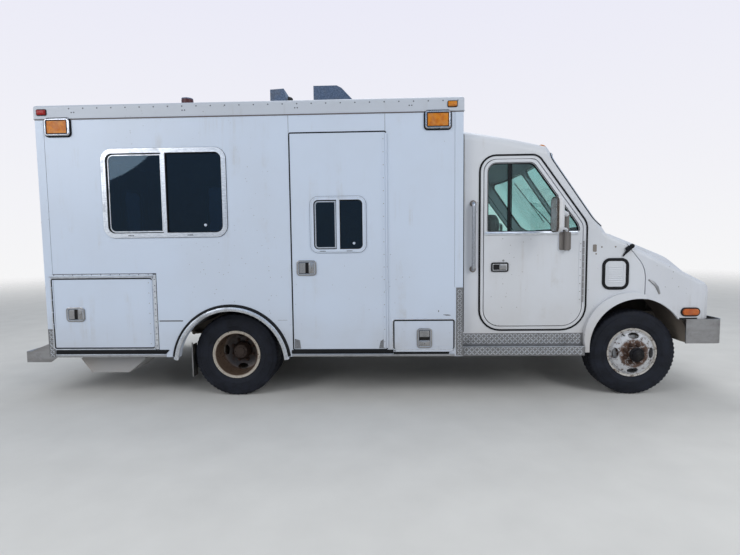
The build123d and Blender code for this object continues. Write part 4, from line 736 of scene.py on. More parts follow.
arch_centre = (rear_axle, 0.330)
moulding = metal("arch_moulding", shade(214, 216, 219), shade(176, 177, 180), (4, 4, 4), 0.40, 0.45)
for side, word in SIDES:
    place = on_side(side)
    bead = (
        (0.4795, 0.0130), (0.4800, 0.0165), (0.4850, 0.0190), (0.4960, 0.0200), (0.5080, 0.0190), (0.5165, 0.0150),
        (0.5165, 0.0), (0.5155, 0.0),
    )
    around = np.radians(np.arange(14, 170, 12.5))
    heads = np.column_stack([arch_centre[0] + 0.500 * np.cos(around), arch_centre[1] + 0.500 * np.sin(around)])
    rivets = studs(heads, 0.0055, 0.0026, on_side(side, body_face + 0.0194))
    build(
        "arch_moulding_" + word,
        [arch_run(arch_centre, bead, 5, 175, place), rivets],
        "body",
        moulding,
    )
    back = (
        (0.5160, 0.0), (0.5160, 0.0158), (0.5210, 0.0176), (0.5330, 0.0140), (0.5405, 0.0), (0.5405, -0.0004),
        (0.5160, -0.0004),
    )
    build("arch_rubber_" + word, [arch_run(arch_centre, back, 8, 172, place)], "body", rubber)

# Corner guards: strips of tread plate screwed over the body's lower corners, with diamonds worn bright.
# The raised diamonds are small lens shapes set alternately both ways, as rolled plate has them.
def lenses(x0, x1, z0, z1, place, pitch, length, width, rise):
    """Tread plate diamonds: pointed lens shapes on a square pattern, every other one turned a quarter turn."""
    columns = np.arange(x0 + pitch / 2, x1 - pitch / 3, pitch / 2)
    along, up = np.meshgrid(columns, np.arange(z0 + pitch / 3, z1 - pitch / 4, pitch / 2), indexing="ij")
    even = ((np.indices(along.shape).sum(0)) % 2 == 0).ravel()
    spots = np.column_stack([along.ravel(), up.ravel()])
    turn = np.linspace(0, 2 * math.pi, 8, endpoint=False)
    u = length / 2 * np.cos(turn)
    v = width / 2 * np.sign(np.sin(turn)) * np.abs(np.sin(turn)) ** 1.6
    levels = ((0, -0.0003), (1, -0.0003), (0.72, rise), (0, rise))
    made = []
    for lean, chosen in ((0.785, even), (-0.785, ~even)):
        outline = np.column_stack([u * math.cos(lean) - v * math.sin(lean), u * math.sin(lean) + v * math.cos(lean)])
        grid = np.stack([np.column_stack([outline * k, np.full(8, h)]) for k, h in levels])
        made.append(scattered(*shell(grid), spots[chosen], place))
    return made


tread = metal("tread_plate", shade(148, 147, 147), shade(122, 120, 118), (6, 6, 6), 0.50, 0.55)
diamond = metal("tread_diamonds", shade(204, 205, 207), shade(170, 170, 172), (6, 6, 6), 0.36, 0.4)
for side, word in SIDES:
    place = on_side(side)
    raised = on_side(side, body_face + 0.0030)
    guard = [plate(oblong(body_back + 0.001, body_back + 0.060, 0.399, 0.656, 0.003), 0.0030, place)]
    marks = lenses(body_back + 0.001, body_back + 0.060, 0.400, 0.654, raised, 0.040, 0.028, 0.0095, 0.0020)
    if side < 0:
        guard.append(plate(oblong(body_front - 0.060, body_front - 0.001, 0.403, 1.005, 0.003), 0.0030, place))
        marks += lenses(body_front - 0.060, body_front - 0.001, 0.405, 1.003, raised, 0.040, 0.028, 0.0095, 0.0020)
        marks.append(studs(row_of(0.46, 0.95, 0.16, body_front - 0.010, True), 0.0040, 0.0020, raised))
    build("corner_guards_" + word, guard, "body", tread)
    build("guard_diamonds_" + word, marks, "body", diamond)

# Warning lamps: ribbed amber lenses on the body's upper corners in chrome bezels, red and amber ones at the back.
# Small marker lamps sit on the roof lid in black bases.
chrome = metal("lamp_chrome", shade(196, 198, 204), shade(160, 163, 168), (3, 3, 3), 0.24, 0.3)


def lens_finish(name, colour, tail=False):
    """Moulded lens: fine upright ribs over a clear colour, darker along the ribs and in mottled patches that are
    painted reflections.
    """
    finish, tree, shader = new_finish(name, Roughness=0.30, Coat_Weight=0.0, IOR=1.49, Specular_IOR_Level=0.3)
    where = object_spot(tree)
    ribs = add_node(
        tree, "TexWave", {"wave_type": "BANDS", "bands_direction": "DIAGONAL"}, Vector=where, Scale=40.0
    ).outputs[1]
    film = span(tree, noise(tree, where, 16.0, 5.0), 0.35, 0.8)
    shown = colour
    if tail:
        parts = add_node(tree, "SeparateXYZ", Vector=where)
        red = span(tree, parts.outputs["X"], -2.850, -2.852)
        high = span(tree, parts.outputs["Z"], 1.11, 1.12)
        amber = span(tree, parts.outputs["Z"], 0.962, 0.968)
        back = tint(tree, high, tint(tree, amber, shade(205, 205, 200), shade(214, 120, 30)), shade(150, 22, 20))
        shown = tint(tree, red, colour, back)
    # Mottled darker patches in the lens colour are painted reflections.
    painted_reflection_patches = calc(tree, "MULTIPLY", span(tree, noise(tree, where, 24.0, 3.0), 0.35, 0.62), 0.55)
    deep_and_reflected = tint(
        tree, calc(tree, "MAXIMUM", calc(tree, "MULTIPLY", ribs, 0.35), painted_reflection_patches), shown, shade(190, 120, 60), "MULTIPLY"
    )
    feed(
        tree,
        shader,
        tint(tree, calc(tree, "MULTIPLY", film, 0.25), deep_and_reflected, shade(150, 140, 125)),
        None,
        ribs,
        0.0012,
        0.6,
    )
    return finish


amber = lens_finish("amber_lens", shade(214, 134, 6), True)
red_lens = lens_finish("red_lens", shade(168, 24, 22))
dark_amber = lens_finish("dark_amber_lens", shade(196, 104, 40))
finish_node(amber, "body_lamps")
bezel_rows = (
    (-0.0060, -0.0004), (-0.0060, 0.0080), (-0.0040, 0.0210), (0.0010, 0.0262), (0.0070, 0.0268), (0.0100, 0.0250),
    (0.0100, 0.0235),
)
gasket_rows = ((-0.0150, -0.0004), (-0.0150, 0.0060), (-0.0055, 0.0090), (-0.0055, -0.0004))
inner_rows = ((0.0095, 0.0235), (0.0095, 0.0262), (0.0165, 0.0262), (0.0165, 0.0235))
bezels, lamp_seals = [], []
for side, _ in SIDES:
    for x0, x1 in ((-2.7555, -2.5475), (0.5495, 0.7575)):
        outline = oblong(x0, x1, 2.368, 2.507, 0.018)
        bezels.append(hoop(outline, bezel_rows, on_side(side), 5))
        lamp_seals += [hoop(outline, rows, on_side(side), 5) for rows in (gasket_rows, inner_rows)]
for y in (-0.8, -0.4, 0.0, 0.4, 0.8):
    bezels.append(hoop(oblong(y - 0.09, y + 0.09, 2.425, 2.492, 0.012), bezel_rows, on_end(body_front, 1), 5))
for y in (-0.76, 0.76):
    bezels.append(hoop(oblong(y - 0.11, y + 0.11, 2.380, 2.500, 0.012), bezel_rows, on_end(body_back, -1), 5))
    for z in (0.830, 0.980, 1.130):
        bezels.append(
            hoop(oblong(y * 1.24 - 0.085, y * 1.24 + 0.085, z, z + 0.12, 0.012), bezel_rows, on_end(body_back, -1), 5)
        )
build("lamp_bezels", bezels, "body", chrome)
build("lamp_seals", lamp_seals, "body", rubber)
crown = ((0.0, -0.0004), (0.0, 0.0060), (0.004, 0.0130), (0.010, 0.0160), (0.016, 0.0168))
base_rows = ((-0.0050, -0.0004), (-0.0050, 0.0050), (0.001, 0.0065))
for name, x0, x1, finish in (("rear_", -2.8305, -2.7485, red_lens), ("front_", 0.7395, 0.8155, amber)):
    for side, word in SIDES:
        outline = oblong(x0, x1, 2.545, 2.590, 0.008)
        place = on_side(side, cap_face)
        build("marker_" + name + word, [pad(outline, crown, place)], "body", finish)
        build("marker_base_" + name + word, [pad(outline, base_rows, place)], "body", rubber)

# Cab shell: older, duller enamel over pressed steel, with tan stains clouded over it.
# A rubber edge runs down the joint with the body, and a folded gutter lip follows the roof's side.
cab_face = 1.100
cab_paint = weathered(
    "cab_enamel",
    shade(208, 212, 219),
    shade(156, 144, 126),
    streaks=0.30,
    dust=0.50,
    dust_top=1.0,
    chips=0.9,
    gloss=0.36,
)
finish_node(cab_paint, "cab_shell", "cab_door_right", "cab_door_left")
joint_line = oblong(body_front + 0.0004, body_front + 0.018, 0.60, 2.330, 0.004)
joint_rows = ((0.0, -0.002), (0.0, 0.004), (0.003, 0.007))
cab_joint = [pad(joint_line, joint_rows, on_side(side, cab_face)) for side, _ in SIDES]
build("cab_joint_rubber", cab_joint, "body", rubber)


def tube(points, radius, sides=14, steps=6):
    """Round bar: a circle carried along a line that is eased at its corners, drawn to a point at both ends.

    The line is sampled evenly and each sample moved to its neighbours' mean, so corners turn in short arcs.
    """
    knots = np.array(points, float)
    reach = np.concatenate([[0], np.cumsum(np.linalg.norm(np.diff(knots, axis=0), axis=1))])
    at = np.linspace(0, reach[-1], steps * len(knots) + 2)
    line = np.column_stack([np.interp(at, reach, knots[:, k]) for k in range(3)])
    line[1:-1] = (line[:-2] + line[1:-1] + line[2:]) / 3
    ahead = np.gradient(line, axis=0)
    ahead /= np.linalg.norm(ahead, axis=1)[:, None]
    spare = np.array((0.31, 0.17, 0.93)) if abs(ahead[:, 2]).mean() < 0.7 else np.array((0.93, 0.31, 0.17))
    first = np.cross(ahead, spare)
    first /= np.linalg.norm(first, axis=1)[:, None]
    second = np.cross(ahead, first)
    turn = np.linspace(0, 2 * math.pi, sides, endpoint=False)[:, None, None]
    width = np.broadcast_to(np.asarray(radius, float), len(line))[:, None]
    grid = (line + width * (first * np.cos(turn) + second * np.sin(turn))).transpose(1, 0, 2)
    ends = np.repeat(line[[0, -1]][:, None], sides, 1)
    return shell(np.concatenate([ends[:1], grid, ends[1:]]))


# Cab doors: pressed leaves in black rubber, with sliding windows, a piano hinge and a recessed handle.
# An arm of painted tube carries a tall mirror, and its foot is bolted to the window divider.
# Rows give each outline's corners: along from the front axle, up, corner radius.
door_rows = (
    (-1.388, 0.621, 0.175), (-0.468, 0.621, 0.210), (-0.468, 1.553, 0.150), (-0.897, 2.141, 0.100),
    (-1.388, 2.141, 0.135),
)
glass_rows = (
    (-1.323, 1.487, 0.015), (-0.528, 1.487, 0.015), (-0.548, 1.547, 0.060), (-0.936, 2.077, 0.070),
    (-1.323, 2.077, 0.075),
)
door_line = [(front_axle + x, z, r) for x, z, r in door_rows]
glass_line = [(front_axle + x, z, r) for x, z, r in glass_rows]
cab_glass = glazing("cab_glass", shade(206, 234, 230), shade(214, 222, 212), 0.05)
finish_node(cab_glass, "cab_door_right_glass", "cab_door_left_glass")
screen_glass = glazing("screen_glass", shade(176, 216, 214), shade(206, 214, 208), 0.08)
finish_node(screen_glass, "windshield")
handle_black = soft_black("handle_black", shade(26, 26, 28), shade(58, 56, 54), 0.5)
bar_x = 1.2825
mirror_paint = weathered(
    "mirror_brown", shade(108, 104, 102), shade(98, 76, 62), streaks=0.5, dust=0.3, dust_top=2.4, chips=1.0, gloss=0.45
)
rust_plate = weathered(
    "bracket_grey", shade(126, 120, 114), shade(104, 66, 40), streaks=1.0, dust=0.2, dust_top=2.0, chips=1.0, gloss=0.5
)
mirror_white = weathered(
    "mirror_white", shade(212, 214, 218), shade(120, 96, 76), streaks=0.7, dust=0.4, dust_top=2.4, chips=1.0, gloss=0.4
)
mirror_dark = soft_black("mirror_dark", shade(58, 52, 48), shade(96, 84, 74), 0.6)
# Mirror glass: half metal and half a pale diffuse grey, which is a painted bright reflection.
mirror_glass, tree, shader = new_finish("mirror_glass", Metallic=0.45, IOR=1.5)
film = noise(tree, object_spot(tree), 9.0, 6.0)
silvered_and_painted_reflection = tint(tree, span(tree, film, 0.4, 0.8), shade(196, 200, 204), shade(160, 160, 156))
feed(tree, shader, silvered_and_painted_reflection, span(tree, film, 0.2, 0.9, 0.16, 0.36))
for side, word in SIDES:
    body = "cab_door_" + word
    shell_face = on_side(side, cab_face)
    leaf_face = on_side(side, cab_face + 0.005)
    gasket = [
        hoop(
            door_line,
            ((-0.0135, -0.001), (-0.0135, 0.0045), (-0.0080, 0.0090), (0.0025, 0.0082), (0.0030, -0.001)),
            shell_face,
        ),
        hoop(door_line, ((0.0265, -0.034), (0.0265, -0.012), (0.0320, -0.012), (0.0320, -0.034)), shell_face),
    ]
    build("door_rubber_" + word, gasket, "body", rubber)
    lining = [
        hoop(glass_line, ((-0.0065, -0.0010), (-0.0065, 0.0026), (-0.0030, 0.0030), (-0.0025, -0.0010)), leaf_face, 10),
        hoop(
            glass_line,
            ((-0.0002, -0.0300), (-0.0002, -0.0040), (0.0060, -0.0040), (0.0060, -0.0205), (0.0060, -0.0300)),
            leaf_face,
            10,
        ),
    ]
    build("window_gasket_" + word, lining, body, rubber)
    band = (
        (-0.0330, -0.0006), (-0.0330, 0.0030), (-0.0300, 0.0052), (-0.0100, 0.0060), (-0.0068, 0.0036),
        (-0.0068, -0.0006),
    )
    build("window_band_" + word, [hoop(glass_line, band, leaf_face, 10)], body, cab_paint)
    low, high = 1.4875, 2.0765
    divider = [
        pad(
            oblong(bar_x - 0.013, bar_x + 0.013, low, high, 0.003),
            ((0.0, -0.0170), (0.0, -0.0050), (0.002, -0.0035)),
            leaf_face,
        )
    ]
    divider.append(
        pad(
            oblong(bar_x + 0.018, bar_x + 0.026, low, high, 0.002),
            ((0.0, -0.0195), (0.0, -0.0170), (0.001, -0.0165)),
            leaf_face,
        )
    )
    build("window_divider_" + word, divider, body, rubber)
    sill = pad(
        oblong(front_axle - 1.352, front_axle - 0.545, 1.4560, 1.4840, 0.006),
        ((0.0, -0.0004), (0.0, 0.0070), (0.005, 0.0100)),
        leaf_face,
    )
    build("window_sill_" + word, [sill], body, bright)
    handle_x, handle_z = front_axle - 1.216, 1.176
    dish = hoop(
        oblong(handle_x - 0.0745, handle_x + 0.0745, handle_z - 0.0405, handle_z + 0.0405, 0.016),
        ((-0.001, 0.0), (-0.001, 0.0085), (0.003, 0.0100), (0.012, 0.0080), (0.014, 0.0034)),
        leaf_face,
    )
    floor_of = plate(
        oblong(handle_x - 0.061, handle_x + 0.061, handle_z - 0.027, handle_z + 0.027, 0.008), 0.0038, leaf_face
    )
    build("door_handle_" + word, [dish, floor_of], body, handle_black)
    paddle = pad(
        oblong(handle_x - 0.004, handle_x + 0.058, handle_z - 0.020, handle_z + 0.024, 0.008),
        ((0.0, 0.0034), (0.0, 0.0080), (0.004, 0.0100), (0.012, 0.0104)),
        leaf_face,
    )
    lock = studs([(handle_x + 0.032, handle_z + 0.058)], 0.0095, 0.0040, leaf_face, 18)
    build("door_paddle_" + word, [paddle, lock], body, steel)
    hinge_x = front_axle - 0.494
    knuckles = [
        tube([(hinge_x, side * 1.1123, z), (hinge_x, side * 1.1123, z + 0.056)], 0.0078, 12, 2)
        for z in np.arange(0.862, 1.36, 0.060)
    ]
    knuckles.append(
        studs(row_of(0.885, 1.375, 0.070, hinge_x - 0.024, True), 0.0048, 0.0024, on_side(side, cab_face + 0.0082))
    )
    build("door_hinge_" + word, knuckles, body, steel)
    place = on_side(side, cab_face + 0.017)
    foot = [plate(oblong(front_axle - 0.708, front_axle - 0.606, 1.320, 1.478, 0.014), 0.0025, place)]
    foot.append(
        studs(
            [
                (front_axle - 0.695, 1.337), (front_axle - 0.619, 1.337), (front_axle - 0.695, 1.461),
                (front_axle - 0.619, 1.461),
            ],
            0.0075,
            0.0045,
            on_side(side, cab_face + 0.0190),
            6,
        )
    )
    post_y = side * 1.133
    post_x = front_axle - 0.650
    foot.append(tube([(post_x, post_y, 1.318), (post_x, post_y, 1.622)], 0.0200, 18, 8))
    build("mirror_post_" + word, foot, body, mirror_paint)
    arms = [
        tube(
            [
                (post_x, post_y, 1.600), (post_x, post_y, 1.627), (post_x - 0.012, side * 1.150, 1.634),
                (front_axle - 0.806, side * 1.296, 1.661),
            ],
            0.0185, 14, 8,
        ),
        tube(
            [
                (post_x + 0.002, post_y, 1.482), (post_x - 0.020, side * 1.180, 1.500),
                (front_axle - 0.806, side * 1.295, 1.520),
            ],
            0.0105, 12, 8,
        ),
    ]
    build("mirror_arms_" + word, arms, body, cab_paint)
    back_of = on_end(front_axle - 0.839, -1)
    y0, y1 = sorted((side * 1.275, side * 1.425))
    outline = oblong(y0, y1, 1.472, 1.758, 0.048)
    shell_rows = (
        (0.029, -0.0652), (0.014, -0.0618), (0.005, -0.0530), (-0.0005, -0.0380), (-0.0006, -0.0150), (0.0010, -0.0145)
    )
    build("mirror_case_" + word, [pad(outline, shell_rows, back_of)], body, mirror_white)
    rim = hoop(
        outline,
        (
            (0.0006, -0.0152), (-0.0008, -0.0140), (-0.0008, -0.0010), (0.0020, 0.0016), (0.0085, 0.0016),
            (0.0100, 0.0004),
        ),
        back_of,
    )
    build("mirror_rim_" + word, [rim], body, mirror_dark)
    glass = plate(oblong(y0 + 0.010, y1 - 0.010, 1.482, 1.748, 0.038), 0.0012, back_of)
    build("mirror_glass_" + word, [glass], body, mirror_glass)

# Cab side fittings: a grab bar in worn grey cups, a louvred vent cover in black rubber, and a scar on the cowl.
# The two bars stand behind the doors, and the covers are low on the cowl behind the front wheel arch.
grab_metal = metal("grab_bar_metal", shade(186, 188, 192), shade(150, 150, 152), (10, 10, 2), 0.30, 0.6)
finish_node(grab_metal, "grab_bars")
cup_grey = weathered(
    "cup_grey", shade(120, 112, 106), shade(96, 66, 48), streaks=0.6, dust=0.2, dust_top=2.0, chips=1.0, gloss=0.6
)
vent = (2.099, 2.321, 0.972, 1.242)
for side, word in SIDES:
    place = on_side(side, cab_face)
    grab_x = front_axle - 1.452
    section = [[0, -0.001], [0.028, -0.001], [0.028, 0.004], [0.024, 0.012], [0.018, 0.016], [0, 0.016]]
    cups = [scattered(*spun(section, 24), [(grab_x, 1.160), (grab_x, 1.735)], place)]
    build("grab_bar_cups_" + word, cups, "body", cup_grey)
    ring_rows = (
        (-0.004, -0.0006), (-0.004, 0.0060), (0.000, 0.0100), (0.016, 0.0105), (0.022, 0.0060), (0.022, -0.0006)
    )
    build("vent_ring_" + word, [hoop(oblong(*vent, 0.062), ring_rows, place, 8)], "body", rubber)
    panel = [
        plate(oblong(vent[0] + 0.022, vent[1] - 0.022, vent[2] + 0.022, vent[3] - 0.022, 0.040), 0.0032, place, 0.001)
    ]
    louvred = oblong(2.138, 2.280, 1.022, 1.188, 0.006)
    panel.append(
        hoop(louvred, ((-0.002, 0.0028), (-0.002, 0.0050), (0.001, 0.0058), (0.004, 0.0050), (0.004, 0.0028)), place, 4)
    )
    for z in np.arange(1.032, 1.175, 0.0165):
        panel.append(
            pad(oblong(2.144, 2.274, z, z + 0.010, 0.004), ((0.0, 0.0025), (0.001, 0.0062), (0.004, 0.0078)), place)
        )
    panel.append(
        pad(oblong(2.190, 2.236, vent[2] + 0.026, vent[2] + 0.036, 0.003), ((0.0, 0.0028), (0.002, 0.0060)), place)
    )
    build("vent_panel_" + word, panel, "body", cab_paint)
    scar = [plate(oblong(2.011, 2.043, 1.302, 1.366, 0.008), 0.0030, place)]
    scar.append(studs([(2.088, 1.343), (2.206, 1.344), (2.040, 1.284)], 0.0075, 0.0014, place, 14))
    build("cowl_scars_" + word, scar, "body", rust_plate)

# Side steps: bare tread plate, bent into an upper and a lower face under the cab doors.
# Raised diamonds are rolled into both faces, and a thin bead runs along the edge between them.
finish_node(tread, "side_steps")
step_x0, step_x1 = body_front + 0.002, 1.947
for side, word in SIDES:
    upper = lenses(step_x0, step_x1, 0.486, 0.584, on_side(side, cab_face), 0.046, 0.034, 0.0120, 0.0026)
    lower = lenses(step_x0, step_x1, 0.398, 0.472, on_side(side, 1.150), 0.046, 0.034, 0.0120, 0.0026)
    nose_edge = pad(
        oblong(step_x0, step_x1, 0.4715, 0.4765, 0.002),
        ((0.0, -0.004), (0.0, 0.0014), (0.001, 0.0022)),
        on_side(side, 1.150),
    )
    build("step_diamonds_" + word, upper + lower + [nose_edge], "body", diamond)

# Roof vents: a galvanised fan box with a dark motor on its end and a wedge hood, both bolted down over flanges.
# A low round beacon stands nearer the back, dark and faded.
zinc = metal("zinc_sheet", shade(112, 124, 142), shade(82, 92, 108), (3, 3, 3), 0.46, 0.4)
finish_node(zinc, "roof_vents")
roof_top = 2.632
flanges = []
for x0, x1, y0, y1 in (
    (rear_axle + 0.365, rear_axle + 0.520, -0.980, -0.750), (rear_axle + 0.760, rear_axle + 1.145, -1.010, -0.730)
):
    ring = oblong(x0 - 0.026, x1 + 0.026, y0 - 0.026, y1 + 0.026, 0.010)
    flanges.append(
        hoop(ring, ((0.0, -0.0004), (0.0, 0.0022), (0.0255, 0.0030), (0.0255, -0.0004)), on_top(roof_top), 5)
    )
    edge = np.vstack([row_of(x0, x1, 0.08, y0 - 0.014), row_of(x0, x1, 0.08, y1 + 0.014)])
    flanges.append(studs(edge, 0.0050, 0.0030, on_top(roof_top + 0.0024), 6))
build("roof_vent_flanges", flanges, "body", zinc)
motor = studs([(-0.930, 2.700)], 0.032, 0.040, on_end(rear_axle + 0.5215, 1), 24)
build("fan_motor", [motor], "body", handle_black)
dome_rows = [
    [0.0, 0.0], [0.053, 0.0], [0.0535, 0.012], [0.0535, 0.128], [0.050, 0.1395], [0.036, 0.1435], [0.0, 0.1445]
]
dark_lens = lens_finish("dark_lens", shade(84, 42, 44))
beacon = scattered(*spun(dome_rows, 32), [(rear_axle - 0.465, -0.800)], on_top(roof_top - 0.0002))
build("roof_beacon", [beacon], "body", dark_lens)

# Windshield: two bent panes in a wide black rubber channel, with a bright filler strip in it and two wipers below.
# The surface leans back and bends round at both sides, as the cab's front does.
screen_low, screen_high, screen_lean = 1.535, 2.165, 0.70
screen_curve, screen_bend, screen_turn = 12.0, 0.88, 0.32


def on_screen(p):
    """Takes (across, up, out) to the leaning windshield: flat-curved in the middle, then turning round an arc."""
    y, z, out = p[..., 0], p[..., 1], p[..., 2]
    past = np.maximum(np.abs(y) - screen_bend, 0.0)
    start = math.asin(screen_bend / screen_curve)
    turn = np.arcsin(np.clip(past / screen_turn + math.sin(start), 0.0, 0.999))
    sag = np.minimum(np.abs(y), screen_bend) ** 2 / (2 * screen_curve) + screen_turn * (
        math.cos(start) - np.cos(turn)
    ) * (past > 0)
    slope = np.where(past > 0, np.sin(turn), np.abs(y) / screen_curve) * np.sign(y)
    ahead = np.sqrt(np.maximum(1 - slope**2, 0.0))
    size = np.sqrt(1 + (screen_lean * ahead) ** 2)
    x = front_axle - 0.225 - screen_lean * (z - 1.515) - sag + out * ahead / size
    return np.stack([x, y + out * slope / size, z + out * screen_lean * ahead / size], -1)


screen_rubber, screen_strip = [], []
for side, _ in SIDES:
    y0, y1 = sorted((side * 0.024, side * 1.084))
    edge = oblong(y0, y1, screen_low, screen_high, 0.080)
    outline = []
    for first, second in zip(edge, edge[1:] + edge[:1]):
        count = 12 if abs(first[0] - second[0]) > 0.5 else 4
        outline.append(first)
        for n in range(1, count):
            at = n / count
            outline.append((first[0] + (second[0] - first[0]) * at, first[1] + (second[1] - first[1]) * at, 0.0004))
    band = ((-0.012, -0.003), (-0.012, 0.0020), (-0.008, 0.0055), (0.004, 0.0065), (0.010, 0.0020), (0.011, -0.007))
    screen_rubber.append(hoop(outline, band, on_screen, 5))
    screen_strip.append(
        hoop(outline, ((-0.0060, 0.0050), (-0.0052, 0.0074), (-0.0010, 0.0080), (0.0000, 0.0055)), on_screen, 5)
    )
build("screen_rubber", screen_rubber, "body", rubber)
build("screen_strip", screen_strip, "body", bright)
wipers = []
for y in (-0.62, 0.30):
    root = on_screen(np.array([(y, 1.470, 0.020)]))[0]
    tip = on_screen(np.array([(y + 0.20, 1.86, 0.022)]))[0]
    wipers.append(
        tube([root + (0.010, 0, -0.020), root, root * 0.5 + tip * 0.5 + (0.006, 0, 0.006), tip], 0.0065, 10, 6)
    )
    low_end = on_screen(np.array([(y + 0.16, 1.62, 0.013)]))[0]
    high_end = on_screen(np.array([(y + 0.24, 2.10, 0.013)]))[0]
    wipers.append(tube([low_end, (low_end + high_end) / 2 + (0.004, 0, 0.002), high_end], 0.0052, 8, 6))
build("wipers", wipers, "body", handle_black)

# Cab roof markers: five small amber lamps in a row over the windshield, on a roof that bows down to the front.
# Each has a black foot that follows the roof, deeper at the two outer ones where it falls away.
roof_fit = np.polyfit((-1.547, -1.100, -0.745), (2.371, 2.293, 2.212), 2)


def on_cab_roof(p):
    """Takes (along from the front axle, across, out) to the cab roof's bowed top."""
    return np.stack([front_axle + p[..., 0], p[..., 1], np.polyval(roof_fit, p[..., 0]) + p[..., 2]], -1)


markers, marker_feet = [], []
for y in (-0.88, -0.42, 0.0, 0.42, 0.88):
    shape = oblong(-0.828, -0.760, y - 0.055, y + 0.055, 0.030)
    drop = -0.016 if abs(y) > 0.8 else 0.0
    marker_feet.append(pad(shape, ((-0.006, drop - 0.004), (-0.006, 0.006), (0.0, 0.010), (0.006, 0.010)), on_cab_roof))
    markers.append(pad(shape, ((0.0, 0.004), (0.002, 0.024), (0.008, 0.036), (0.018, 0.042)), on_cab_roof))
build("cab_marker_feet", marker_feet, "body", handle_black)
build("cab_markers", markers, "body", amber)

# Tilting nose: the same old enamel as the cab, with sealed-beam lamps in bright bezels and a wire grille screen.
# A rubber latch crosses each seam, an oval amber marker sits low at each front corner and a black lip runs below.
nose_paint = weathered(
    "nose_enamel",
    shade(206, 210, 218),
    shade(136, 128, 116),
    streaks=0.5,
    dust=0.6,
    dust_top=1.0,
    chips=1.0,
    gloss=0.34,
)
finish_node(nose_paint, "nose")
lamp_line = np.array(
    [(0.702, 0.658), (0.878, 0.6528), (0.905, 0.6487), (0.9286, 0.6388), (0.998, 0.600), (1.016, 0.584)]
)
hood_line = np.array([(0.702, 0.656), (1.090, 0.600)])


def on_front(line, sunk=0.0):
    """Takes (across, up, out) to a nose front whose (up, ahead) line is given, sunk back by a depth."""
    return lambda p: np.stack(
        [front_axle + np.interp(p[..., 1], line[:, 0], line[:, 1]) - sunk + p[..., 2], p[..., 0], p[..., 1]], -1
    )


lamp_glass = glazing("lamp_glass", shade(222, 226, 230), shade(206, 200, 180), 0.06)
reflector, tree, shader = new_finish("lamp_reflector", Metallic=1.0)
flutes = add_node(tree, "TexWave", {"bands_direction": "Y"}, Vector=object_spot(tree), Scale=26.0).outputs["Fac"]
# The reflector's light and dark bands along its flutes are painted reflections.
flute_reflection_bands = tint(tree, flutes, shade(232, 232, 230), shade(150, 150, 150))
feed(tree, shader, flute_reflection_bands, span(tree, flutes, 0.0, 1.0, 0.12, 0.30))
sunk = on_front(lamp_line, 0.012)
bezels, beams, bowls, signals = [], [], [], []
for side, _ in SIDES:
    y0, y1 = sorted((side * 0.503, side * 0.797))
    bezels.append(
        hoop(
            oblong(y0, y1, 0.803, 0.957, 0.022),
            ((0.0, 0.0004), (0.0, 0.0150), (0.004, 0.0175), (0.012, 0.0140), (0.014, 0.0020)),
            sunk,
            6,
        )
    )
    for y in (0.595, 0.715):
        a, b = sorted((side * (y - 0.052), side * (y + 0.052)))
        shape = oblong(a, b, 0.824, 0.936, 0.018)
        bowls.append(plate(shape, 0.0035, sunk))
        beams.append(pad(shape, ((0.002, 0.0034), (0.002, 0.0085), (0.012, 0.0120), (0.030, 0.0138)), sunk))
        bezels.append(hoop(shape, ((-0.008, 0.0010), (-0.008, 0.0092), (-0.002, 0.0108), (0.002, 0.0080)), sunk, 6))
    a, b = sorted((side * 0.815, side * 0.905))
    signals.append(
        pad(
            oblong(a, b, 0.815, 0.945, 0.020),
            ((0.0, -0.004), (0.0, 0.010), (0.006, 0.016), (0.018, 0.018)),
            on_front(lamp_line),
        )
    )
build("headlamp_bezels", bezels, "nose", chrome)
build("headlamp_bowls", bowls, "nose", reflector)
build("headlamp_glass", beams, "nose", lamp_glass)
build("turn_lamps", signals, "nose", amber)
behind_bars = on_front(hood_line, 0.030)
screen_wires = [
    plate(oblong(y - 0.0016, y + 0.0016, 0.760, 1.028, 0.0006), 0.0030, behind_bars, 0.0004, 0.0, 2)
    for y in np.linspace(-0.42, 0.42, 57)
]
screen_wires += [
    plate(oblong(-0.432, 0.432, z - 0.0016, z + 0.0016, 0.0006), 0.0032, behind_bars, 0.0004, 0.0, 2)
    for z in np.arange(0.778, 1.024, 0.015)
]
screen_wires.append(
    hoop(
        oblong(-0.434, 0.434, 0.756, 1.034, 0.030),
        ((-0.006, -0.003), (-0.006, 0.005), (0.008, 0.005), (0.008, -0.003)),
        behind_bars,
        6,
    )
)
build("grille_screen", screen_wires, "nose", handle_black)
trim_ring = hoop(
    oblong(-0.430, 0.430, 0.770, 1.030, 0.040),
    ((-0.014, -0.0006), (-0.013, 0.0060), (-0.004, 0.0075), (0.0, 0.0040), (0.0, -0.006)),
    on_front(hood_line),
    8,
)
build("grille_trim", [trim_ring], "nose", bright)
lip_rows = ((0.0, -0.0006), (0.0, 0.0035), (0.002, 0.0050))
